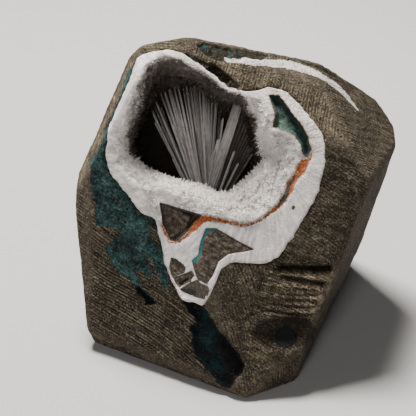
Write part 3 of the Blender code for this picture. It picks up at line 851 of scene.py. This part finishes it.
def painted_shade_at(spots, under):
    """How much painted shade dims the lining at places (a, b) this deep under the face, from 0 to 1."""
    a, b = spots.T
    roof = ease(b, 36, 48) * ease(a, -46, -34)
    roof = np.maximum(roof, 0.55 * ease(a, -30, -38) * ease(b, 18, 26))
    shade = np.maximum(depth_inside(spots, SHADE) + 1.1 * roof, 0)
    short = np.maximum(-depth_inside(spots, VOID), 0)
    share = np.where(shade > 0, shade / np.maximum(shade + short, 1e-6), 0)
    far_in = np.maximum(ease(b, 16, 27), ease(under, 10, 25))
    return far_in * share ** (1 - 0.48 * roof) * (1 - (1 - ROOF_SHADE_SHARE) * ease(b, 38, 47))


gloom = painted_shade_at(spots, under)
sugar = bumps(points, 1.1, 31) * 0.18 + bumps(points, 2.3, 32) * 0.3
billow = bumps(points, 5.5, 33) * 0.65 + bumps(points, 11, 34) * 0.8
soft = np.maximum(inward, 0.85 * (1 - cut_face))
rise = sugar * soft + billow * inward * ease(under, 1, 6)
rise += bumps(points, 1.6, 35) * 0.05
swell = ease(-outer_side, -9, -0.5) * (1 - cut_face) * ease(b, 14, 4) * (seam < -0.2)
rise += 0.5 * swell
rise -= ease(seam, -0.3, 0.4) * SEAM_SINK
push = ease(pocket, -0.2, 1.4) * (POCKET_SINK + 0.7 * bumps(points, 3.6, 36) + 0.3 * bumps(points, 1.5, 37))
push += ease(hold, 0.15, 0.8) * BED_SINK
moved = points + normals * (rise * ease(depth, -30, -10))[:, None] - OUTWARD * (push * face_on)[:, None]
put_points(crust, moved)
fan_a, fan_b = (spots - FIBRE_HEEL).T
put_fields(
    crust, pocket=pocket, seam=seam, cut_face=cut_face, gloom=gloom, skin=skin, gap=gap, moss=moss,
    lit=lit, hold=hold,
    fibres=np.stack([np.arctan2(fan_b, fan_a) * 18, np.hypot(fan_a, fan_b), depth], axis=1),
)
bpy.ops.object.shade_smooth()

zeolite, shader, place = finish_material("white_zeolite", Specular_IOR_Level=0.4)
shader.inputs["Subsurface Weight"].default_value = 0.12
shader.inputs["Subsurface Radius"].default_value = (1, 0.85, 0.8)
shader.inputs["Subsurface Scale"].default_value = 0.0012
gloom = field(place, "gloom")
sugar = place.noise(1.15, 4, 0.6).even()
crumb = place.noise(2.3, 2, 0.5).even(0.15)
soft = place.noise(0.28, 4, 0.6).even(0.15)
cloud = place.noise(0.1, 3).even(0.15)
ragged = place.noise(0.9, 5, 0.65) - 0.5
ragged_fine = place.noise(2.4, 3, 0.6) - 0.5
white = (sugar * 0.42 + crumb * 0.2 + soft * 0.38).ramp(
    (0.06, (0.34, 0.305, 0.275)), (0.3, (0.63, 0.585, 0.545)), (0.52, (0.87, 0.825, 0.78)),
    (0.8, (0.95, 0.915, 0.875)),
)
clear_spot = place.noise(0.24, 3, 0.5).between(0.55, 0.62) * gloom.between(0, 0.5)
fibres = field(place, "fibres", "Vector").stretched(1.5, 0.09, 0.5).noise(1.0, 3, 0.6).even()
cut_at = field(place, "cut_face")
ground_white = (fibres * 0.5 + soft * 0.2 + cloud * 0.3).ramp(
    (0.1, (0.48, 0.45, 0.435)), (0.5, (0.75, 0.71, 0.685)), (0.9, (0.93, 0.895, 0.875)),
)
white = white.mixed(clear_spot * 0.5, (0.33, 0.31, 0.32), cut_at, ground_white)
# Painted shade: dim darkens the white lining to grey-brown and then to the near black of the void.
dim = (gloom + (soft - 0.5) * 0.24 + (sugar - 0.5) * 0.12).between(0.02, 1)
half_dim = white.mixed(dim.between(0, 0.5), (0.11, 0.091, 0.075))
white = half_dim.mixed(dim.between(0.35, 1), (0.0225, 0.0155, 0.0102))

rust = place.noise(1.3, 4, 0.6).ramp(
    (0.3, (0.22, 0.06, 0.018)), (0.5, (0.56, 0.155, 0.042)), (0.68, (0.74, 0.31, 0.13)),
)
seam_at = (field(place, "seam") + ragged * 2.6 + ragged_fine * 2.2).between(0, 0.25)
mossy = (field(place, "moss") + ragged * 2.4).between(-0.1, 0.4)
rust = rust.mixed(
    mossy * 0.9, (0.035, 0.06, 0.05),
    place.noise(0.9, 3, 0.6).between(0.6, 0.66) * 0.8, (0.03, 0.02, 0.014),
)
pocket_value = field(place, "pocket")
brim = (pocket_value + 0.5 + ragged * 2.2 + ragged_fine * 1.8).between(0, 0.2)
lit = (field(place, "lit") + ragged * 0.5).between(-0.1, 0.8)
green = (sugar * 0.25 + soft * 0.3 + cloud * 0.2 + lit * 0.35).ramp(
    (0.1, (0.01, 0.029, 0.027)), (0.4, (0.03, 0.072, 0.063)), (0.75, (0.066, 0.125, 0.104)),
    (1.0, (0.12, 0.19, 0.155)),
).mixed(lit * 0.5, (0.12, 0.18, 0.138))
green_at = (pocket_value + 0.35 + ragged * 1.4).between(0.1, 0.35)
brown = (sugar * 0.5 + crumb * 0.5).ramp(
    (0.1, (0.02, 0.015, 0.01)), (0.5, (0.058, 0.045, 0.031)), (0.9, (0.125, 0.1, 0.072)),
)
brown_at = (field(place, "skin") + 0.3 + ragged * 1.3).most(field(place, "hold"))
painted_gap_shadow_at = (field(place, "gap") + ragged * 0.8).between(-0.1, 0.2)
white = white.mixed(
    seam_at, rust,
    brim * 0.85, rust,
    green_at, green,
    brown_at.between(-0.1, 0.15), brown,
    # Painted shadow in the gap and the pit.
    painted_gap_shadow_at * 0.95, (0.006, 0.006, 0.005),
)
relief = (sugar * 0.9 + crumb * 0.5) * (1 - cut_at * 0.75) + fibres * cut_at * 0.35 + ragged_fine * 0.5
lay_on(shader, place, white, 0.45 + sugar * 0.3, relief, 0.5)
crust.data.materials.append(zeolite)
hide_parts("crystal_crust")
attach(crust, "root")

# The sugar on the lining: thousands of small square zeolite crystals that stand out of the crust
# round the lip and down its walls, where the hollow gave them room. They grew on the crust and
# are one with it.
SUGAR = [
    # name, how many, from and to under the face, length, width, lean, seed
    ("lip_crystals", 13500, (-0.2, 7), (0.5, 1.5), (0.16, 0.34), 0.8, 71),
    ("wall_crystals", 11500, (4, 27), (0.9, 2.6), (0.22, 0.5), 0.65, 72),
]
# They stand up to this far outside the lip's line, on faces that look at the hollow's middle.
LIP_MARGIN = 1.6
MIDDLE_OUT = 22
FOOT_SUNK = 0.35
# How tall they grew, by the bearing from the hollow's middle: the roof's are short.
STATURE = [(0, 1), (35, 0.8), (50, 0.4), (95, 0.45), (150, 0.7), (200, 1), (360, 1)]


def standing_prism(sides, ends):
    """A prism 1 high and about 1 across that stands on the origin."""
    bpy.ops.object.select_all(action="DESELECT")
    bpy.ops.mesh.primitive_cylinder_add(
        vertices=sides, radius=0.5, depth=1, location=(0, 0, 0.5), end_fill_type=ends)
    bpy.ops.object.transform_apply(location=True)
    return bpy.context.object


def form_of(seed):
    """Takes the seed out of the scene and returns its points and faces, in a fixed order."""
    form = np.array([vertex.co for vertex in seed.data.vertices])
    order = np.lexsort(form.round(4).T)
    rank = order.argsort().tolist()
    faces = [[rank[corner] for corner in face.vertices] for face in seed.data.polygons]
    faces = sorted(face[face.index(min(face)):] + face[:face.index(min(face))] for face in faces)
    bpy.data.objects.remove(seed)
    return form[order], faces


seed_crystal = standing_prism(4, "NOTHING")
bpy.ops.object.mode_set(mode="EDIT")
bpy.ops.mesh.select_mode(type="EDGE")
bpy.ops.mesh.select_all(action="DESELECT")
bpy.ops.object.mode_set(mode="OBJECT")
for edge in seed_crystal.data.edges:
    edge.select = all(seed_crystal.data.vertices[one].co.z > 0.9 for one in edge.vertices)
bpy.ops.object.mode_set(mode="EDIT")
bpy.ops.mesh.extrude_region_move(TRANSFORM_OT_translate={"value": (0, 0, 0.3)})
bpy.ops.mesh.merge(type="CENTER")
bpy.ops.object.mode_set(mode="OBJECT")
form, form_faces = form_of(seed_crystal)
form[:, 2] /= form[:, 2].max()


def grown(name, feet, growth, lengths, widths, turns, form, form_faces, flats=None):
    """One mesh of a crystal repeated: its feet, directions, lengths, widths and turns."""
    helper = np.where(np.abs(growth @ OUTWARD)[:, None] < 0.95, OUTWARD, RIGHT)
    side = np.cross(growth, helper)
    side /= np.linalg.norm(side, axis=1)[:, None]
    other = np.cross(growth, side)
    cos, sin = np.cos(turns)[:, None], np.sin(turns)[:, None]
    side, other = side * cos + other * sin, other * cos - side * sin
    flats = widths if flats is None else flats
    spots = feet[:, None] + side[:, None] * (form[None, :, :1] * widths[:, None, None])
    spots = spots + other[:, None] * (form[None, :, 1:2] * flats[:, None, None])
    spots = spots + growth[:, None] * (form[None, :, 2:] * lengths[:, None, None])
    faces = [[base + corner for corner in face]
             for base in range(0, len(feet) * len(form), len(form)) for face in form_faces]
    return new_piece(name, spots.reshape(-1, 3), faces)


# Each face of the crust is a place where a crystal may stand.
crust_points = points_of(crust)
quads = [list(face.vertices) for face in crust.data.polygons]
quad_normal = points_of(crust, "normal")[[corners[0] for corners in quads]]
quad_at = np.array([face.center for face in crust.data.polygons]) / MM
quad_spots = seen_from_mouth(quad_at)
a, b = quad_spots.T
quad_under = MOUTH + MOUTH_LEAN * a - (quad_at - HEART) @ OUTWARD - face_depth(a, b)
quad_painted_shade = painted_shade_at(quad_spots, quad_under)
from_centre = quad_spots - CENTRE
bearing = np.arctan2(from_centre[:, 1], from_centre[:, 0])
stature = np.interp(np.degrees(bearing) % 360, *np.array(STATURE).T)
lip_reach = np.interp(bearing % math.tau, np.append(angles, math.tau), np.append(far_lip, far_lip[0]))
open_side = np.hypot(*from_centre.T) < lip_reach + LIP_MARGIN
middle = HEART + CENTRE[0] * RIGHT + CENTRE[1] * UP + MIDDLE_OUT * OUTWARD
inner_side = ((middle - quad_at) * quad_normal).sum(axis=1) > 0

milky, shader, place = finish_material("milky_crystal", Specular_IOR_Level=0.6)
shader.inputs["Subsurface Weight"].default_value = 0.15
shader.inputs["Subsurface Radius"].default_value = (1, 0.9, 0.85)
shader.inputs["Subsurface Scale"].default_value = 0.0012
tone = place.noise(0.55, 3, 0.6).ramp(
    (0.34, (0.77, 0.725, 0.685)), (0.52, (0.95, 0.915, 0.875)), (0.68, (1.0, 0.975, 0.94)),
)
# Painted shade: the crystals inside the hollow are darkened like the lining they stand on.
dim = (field(place, "gloom") + (place.noise(0.28, 4, 0.6) - 0.5) * 0.7).between(0.02, 1)
half_dim = tone.mixed(dim.between(0, 0.5), (0.14, 0.117, 0.098))
tone = half_dim.mixed(dim.between(0.35, 1), (0.0285, 0.02, 0.0138))
lay_on(shader, place, tone, place.noise(0.9, 1) * 0.2 + 0.25, place.noise(3, 1), 0.05)

for name, count, band, stand, width, sway, seed in SUGAR:
    chance = np.random.default_rng(seed)
    fit = open_side & inner_side & (quad_under > band[0]) & (quad_under < band[1])
    home = chance.choice(np.flatnonzero(fit), count)
    thick = 0.55 + 0.45 * bumps(quad_at[home], 4, seed)
    growth = quad_normal[home] + chance.normal(0, sway, (count, 3)) * 0.6
    growth /= np.linalg.norm(growth, axis=1)[:, None]
    lengths = chance.uniform(*stand, count) * (0.6 + 0.8 * np.clip(thick, 0, 1)) * stature[home]
    widths = chance.uniform(*width, count)
    feet = quad_at[home] + chance.normal(0, 0.25, (count, 3)) - growth * FOOT_SUNK
    turns = chance.uniform(0, 3, count)
    sugar_piece = grown(name, feet, growth, lengths, widths, turns, form, form_faces)
    put_fields(sugar_piece, gloom=np.repeat(quad_painted_shade[home], len(form)))
    sugar_piece.data.materials.append(milky)
    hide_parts("crystal_crust")
    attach(sugar_piece, "root")

# The scolecite fan: clear to greyish needles that all spring from one spot in the floor of the
# hollow and spread up to its roof. Each is a slender four-sided prism, grooved along its length,
# and the stoutest are bundles that grew side by side.
FAN_FOOT = np.array([-11.5, 0.5, 27.0])
# Each needle: its tip (a, b, t), width and thickness in mm, and how far its foot is shifted.
MAIN_NEEDLES = [
    ((-34.0, 43.4, 17), 0.8, 0.7, -2.6), ((-32.4, 39.5, 15), 0.7, 0.6, -2.9),
    ((-32.6, 47.0, 18), 1.1, 0.8, -2.2), ((-30.6, 50.6, 17), 0.9, 0.8, -2.0),
    ((-28.9, 50.6, 16), 1.4, 0.9, -1.9), ((-27.0, 51.8, 15.5), 2.1, 1.1, -1.6),
    ((-25.2, 52.3, 16), 1.2, 0.9, -1.4), ((-23.6, 52.8, 17), 1.3, 0.9, -1.2),
    ((-21.8, 53.0, 18), 0.8, 0.7, -1.0), ((-20.4, 53.2, 17), 1.1, 0.8, -0.8),
    ((-18.6, 53.4, 18), 0.9, 0.8, -0.6), ((-16.8, 53.4, 15), 2.1, 1.1, -0.5),
    ((-15.2, 53.6, 17), 1.0, 0.8, -0.3), ((-13.6, 53.6, 15.5), 1.6, 1.0, -0.1),
    ((-12.3, 53.6, 17), 1.0, 0.8, 0.1), ((-11.1, 53.5, 15.5), 1.4, 0.9, 0.2),
    ((-9.8, 53.3, 16.5), 0.9, 0.8, 0.4), ((-7.9, 48.4, 13.5), 0.9, 0.7, 0.3),
    ((-8.6, 46.0, 15.5), 0.6, 0.5, 0.3), ((-6.0, 52.0, 20), 1.2, 0.8, 0.8),
    ((-4.2, 51.0, 21), 1.0, 0.8, 1.0), ((1.2, 48.0, 8.5), 4.4, 1.4, -2.0),
    ((1.6, 47.2, 12), 1.4, 0.9, 0.6), ((2.8, 46.2, 13), 1.3, 0.8, 0.7),
    ((3.9, 45.0, 13.5), 1.4, 0.8, 0.8), ((5.0, 43.4, 14), 1.3, 0.8, 0.9),
    ((6.0, 41.6, 14), 1.3, 0.8, 1.0), ((6.9, 40.0, 14), 1.2, 0.8, 1.1),
    ((7.7, 38.0, 14), 1.2, 0.8, 1.2), ((8.2, 36.0, 14.5), 1.1, 0.8, 1.3),
    ((8.5, 33.8, 15), 1.0, 0.8, 1.4), ((8.2, 31.6, 14.5), 1.1, 0.8, 1.6),
    ((-1.0, 26.8, 15.5), 1.2, 0.9, 1.0), ((0.4, 21.8, 15.2), 0.9, 0.8, 1.6),
    ((-7.4, 31.4, 14.4), 1.9, 1.0, -1.9), ((-9.2, 27.0, 15.0), 1.7, 1.0, -1.8),
    ((-22.6, 33.0, 16.5), 0.8, 0.7, -1.4), ((-25.6, 37.5, 15), 0.7, 0.6, -1.8),
    ((-13.2, 31.0, 15), 0.7, 0.6, -0.2), ((-17.8, 36.0, 14.5), 0.8, 0.7, -0.8),
]
FINE_NEEDLES = 120
BLADE = 21
# How far out each ridge and groove of a needle's side lies.
SPOKES = [1, 0.8, 0.9, 0.72, 0.93, 0.78, 0.97, 1, 0.82, 0.92, 0.74, 0.95, 0.77, 0.9]
GROOVES = len(SPOKES)
# A needle is clear of its foot this far up, and its tip enters the wall by this much, in mm.
CLEAR_OF_FOOT = 14
TIP_SUNK = 1.2
seed_needle = standing_prism(GROOVES, "TRIFAN")
bpy.ops.object.mode_set(mode="EDIT")
for height in (0.34, 0.7, 0.965):
    bpy.ops.mesh.select_all(action="SELECT")
    bpy.ops.mesh.bisect(plane_co=(0, 0, height), plane_no=(0, 0, 1))
bpy.ops.object.mode_set(mode="OBJECT")
needle_form, needle_faces = form_of(seed_needle)
spoke_turn = np.arctan2(needle_form[:, 1], needle_form[:, 0]) / math.tau
spoke = np.round(spoke_turn * GROOVES).astype(int) % GROOVES
radius = np.hypot(needle_form[:, 0], needle_form[:, 1])
groove = np.array(SPOKES)[spoke]
needle_form[:, :2] *= np.where(radius > 0.01, groove, 1)[:, None]
needle_form[:, :2] *= np.interp(needle_form[:, 2], (0, 0.5, 0.96, 1), (0.55, 1, 0.96, 0.62))[:, None]
needle_form[:, 2] += np.where(needle_form[:, 2] > 0.98, 0.02 * needle_form[:, 0], 0)

chance = np.random.default_rng(81)
feet, tips, widths, flats = [], [], [], []
for (a, b, t), wide, thick, shift in MAIN_NEEDLES:
    deep = chance.uniform(-1.5, 1) if len(feet) != BLADE else -3
    feet.append((FAN_FOOT[0] + shift, FAN_FOOT[1] + abs(shift) * 0.5, FAN_FOOT[2] + deep))
    tips.append((a, b, t))
    widths.append(wide)
    flats.append(thick)
for _ in range(FINE_NEEDLES):
    (a, b, t), wide, thick, shift = MAIN_NEEDLES[int(chance.integers(0, 32))]
    reach_share = chance.choice([1, 1, 1, chance.uniform(0.5, 0.95)])
    spread = chance.normal(0, 1.0)
    deeper = chance.uniform(1.0, 7.0)
    foot = FAN_FOOT + (shift + chance.normal(0, 0.5), abs(shift) * 0.5, deeper * 0.3)
    tip = np.array([a + spread, b - 0.3 * deeper, t + deeper])
    feet.append(tuple(foot))
    tips.append(tuple(foot + (tip - foot) * reach_share))
    size = chance.uniform(0.45, 1.0)
    widths.append(size)
    flats.append(size * 0.8)
feet, tips = np.array(feet), np.array(tips)
feet = in_hollow(feet[:, 0], feet[:, 1], feet[:, 2])
tips = in_hollow(tips[:, 0], tips[:, 1], tips[:, 2])
growth = tips - feet
lengths = np.linalg.norm(growth, axis=1)
growth /= lengths[:, None]
wall = BVHTree.FromPolygons(crust_points.tolist(), quads)
for index in range(len(feet)):
    start = feet[index] + growth[index] * CLEAR_OF_FOOT
    hit = wall.ray_cast(Vector(start), Vector(growth[index]))
    if hit[0] is not None:
        lengths[index] = min(lengths[index], CLEAR_OF_FOOT + hit[3] + TIP_SUNK)
turns = chance.normal(0, 0.25, len(feet))
turns[BLADE] = 0.1
fan = grown(
    "scolecite_needles", feet, growth, lengths, np.array(widths), turns, needle_form, needle_faces,
    np.array(flats),
)
face_outward(fan)
bpy.ops.object.shade_smooth_by_angle(angle=math.radians(14))
way = np.repeat(np.arange(len(feet)) * 1.7, len(needle_form))
# The brownish ones stand to the right and behind, and under the roof all are darkened with painted shade.
tip_spots = seen_from_mouth(feet + growth * lengths[:, None])
right_hand = ease(tip_spots[:, 0], 0.2, 1.6) * ease(tip_spots[:, 1], 27, 30) * 0.95
behind = (np.arange(len(feet)) >= len(MAIN_NEEDLES)) * 0.3
brown = right_hand + behind + chance.choice([0, 0, 0.1, 0.25, 0.45], len(feet))
brown[BLADE] = 0.28
painted_roof_shade = ease(seen_from_mouth(points_of(fan))[:, 1], 38, 50)
dim = np.clip(np.repeat(brown, len(needle_form)) + 0.95 * painted_roof_shade, 0, 1)
x, y, z = np.tile(needle_form, (len(feet), 1)).T
strand = [np.arctan2(y, x) * 3 + way, z * np.repeat(lengths, len(needle_form)), way * 3]
put_fields(fan, dim=dim, strand=np.stack(strand, axis=1))
clear, shader, place = finish_material("clear_scolecite", IOR=1.51, Transmission_Weight=0.45)
strand = field(place, "strand", "Vector")
lines = strand.stretched(1.1, 0.05, 1).noise(1.0, 3, 0.6)
veil = place.noise(0.5, 3)
tone = (lines * 0.75 + veil * 0.25).ramp(
    (0.4, (0.4, 0.345, 0.32)), (0.49, (0.92, 0.875, 0.855)), (0.56, (1.0, 0.985, 0.975)),
)
# dim mixes the needles' brownish tone with the painted shade under the roof.
tone = tone.mixed(field(place, "dim") * 0.94, (0.05, 0.038, 0.029))
lay_on(shader, place, tone, lines * 0.25 + 0.12, lines, 0.12)
fan.data.materials.append(clear)
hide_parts("crystal_crust")
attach(fan, "root")

# The broken basalt: pieces of the rock that fell under the hollow and were cemented in white.
# They were ground off level with the rest, and their edges carry a teal film or a painted black shadow.
CLAST_GRAIN = 0.36
broken, shader, place = finish_material("broken_basalt", Specular_IOR_Level=0.3)
fine = place.noise(1.5, 4, 0.65).even(0.16)
blotch = place.noise(0.5, 4, 0.6).even()
ragged = place.noise(1.1, 4, 0.6) - 0.5
grind = field(place, "grind", "Vector")
streak = grind.stretched(0.9, 0.06, 1).noise(1.0, 3, 0.6).even()
tone = (fine * 0.4 + streak * 0.25 + blotch * 0.35).ramp(
    (0.12, (0.012, 0.009, 0.006)), (0.4, (0.052, 0.04, 0.029)), (0.66, (0.112, 0.088, 0.065)),
    (0.95, (0.23, 0.19, 0.148)),
)
film = (field(place, "film") + ragged * 1.3).between(0, 0.35)
tone = tone.mixed(film, field(place, "film_colour", "Color"))
lay_on(shader, place, tone, 0.6 + fine * 0.3, streak * 0.7 + fine * 0.6, 0.22)
# Painted shadow: the near black laid along the fragments' recessed edges.
PAINTED_BLACK_SHADOW = (0.012, 0.01, 0.008)
TEAL_FILM = (0.018, 0.14, 0.145)
# Each fragment's edge mark, a teal film or a painted black shadow: its colour, its line (a, b) and its
# widths there.
FILMS_AND_SHADOWS = {
    "breccia_clast_upper": (
        PAINTED_BLACK_SHADOW,
        [(-30, 6), (-22, 3.4), (-15, 0.8), (-16.2, -0.6), (-18.4, -3.6), (-23, -7.6), (-26, -8)],
        [0.8, 1.4, 4.2, 5.2, 3.6, 3.4, 1.4],
    ),
    "breccia_clast_main": (
        TEAL_FILM,
        [(-8, -3.6), (-12.3, -3.9), (-14.3, -8.5), (-15.4, -13.8), (-17.6, -15.8)],
        [1.6, 2.4, 2.2, 2.4, 3.4],
    ),
    "breccia_clast_left": (PAINTED_BLACK_SHADOW, [(-26, -15), (-25, -21)], [0.5, 0.7]),
    "breccia_clast_lower": (PAINTED_BLACK_SHADOW, [(-22.6, -25.6), (-19.8, -24)], [1.2, 2.2]),
}
for node in CLAST_OUTLINES:
    clast = merged_copy(node, node.replace("breccia", "basalt"))
    apply_modifier(clast, "REMESH", mode="VOXEL", voxel_size=CLAST_GRAIN * MM)
    apply_modifier(clast, "SMOOTH", factor=0.5, iterations=2)
    points = points_of(clast)
    normals = points_of(clast, "normal")
    spots = seen_from_mouth(points)
    rise = 0.16 * bumps(points, 2.2, 51) + 0.1 * bumps(points, 1.1, 52)
    colour, line, line_widths = FILMS_AND_SHADOWS[node]
    film = off_line(spots, line, line_widths)
    rise -= ease(-film, -0.2, 0.8) * (0.7 if colour == PAINTED_BLACK_SHADOW else 0.1)
    side = normals - np.outer(normals @ OUTWARD, OUTWARD)
    rise *= 0.6 + 0.4 * (normals @ OUTWARD > 0.7)
    swell = 0.22 + 0.3 * bumps(points, 1.4, 53)
    put_points(clast, points + swell[:, None] * side + normals * rise[:, None])
    across, up = spots.T
    lay = [up * 0.85 + across * 0.5, across * 0.85 - up * 0.5, up * 0]
    colours = np.tile(colour, (len(points), 1))
    put_fields(clast, grind=np.stack(lay, axis=1), film=-film, film_colour=colours)
    bpy.ops.object.shade_smooth()
    clast.data.materials.append(broken)
    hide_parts(node)
    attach(clast, "root")

# The studio: a plain pale floor and soft lamps, seen from in front and above, as one looks down
# into the hollow.
CAMERA_AT = (-0.01182, -0.40245, 0.29675)
bpy.ops.object.camera_add(location=CAMERA_AT, rotation=(math.radians(59), 0, 0))
camera = bpy.context.object
camera.data.lens = 100
camera.data.sensor_width = 36
camera.data.clip_start = 0.01
bpy.context.scene.camera = camera

bpy.ops.object.select_all(action="DESELECT")
bpy.ops.mesh.primitive_plane_add(size=6, location=(0, 1.2, 0))
floor = bpy.context.object
floor.name = "floor"
pale, shader, place = finish_material("pale_floor", Roughness=0.85)
shader.inputs["Base Color"].default_value = (0.42, 0.415, 0.41, 1)
floor.data.materials.append(pale)

LAMPS = [
    ("key", (-0.16, 0.28, 1.0), 0.28, 37, (1, 0.96, 0.91)),
    ("front", (-0.25, -1.1, 0.8), 0.3, 5.5, (1, 0.97, 0.94)),
]
for name, spot, size, power, colour in LAMPS:
    bpy.ops.object.light_add(type="AREA", location=spot)
    lamp = bpy.context.object
    lamp.name = name
    lamp.data.size = size
    lamp.data.energy = power
    lamp.data.color = colour
    aim = Vector((0, 0, 0.06)) - Vector(spot)
    lamp.rotation_euler = aim.to_track_quat("-Z", "Y").to_euler()
world = bpy.data.worlds.new("studio")
world.use_nodes = True
world.node_tree.nodes["Background"].inputs["Color"].default_value = (0.9, 0.93, 1, 1)
world.node_tree.nodes["Background"].inputs["Strength"].default_value = 0.05
bpy.context.scene.world = world
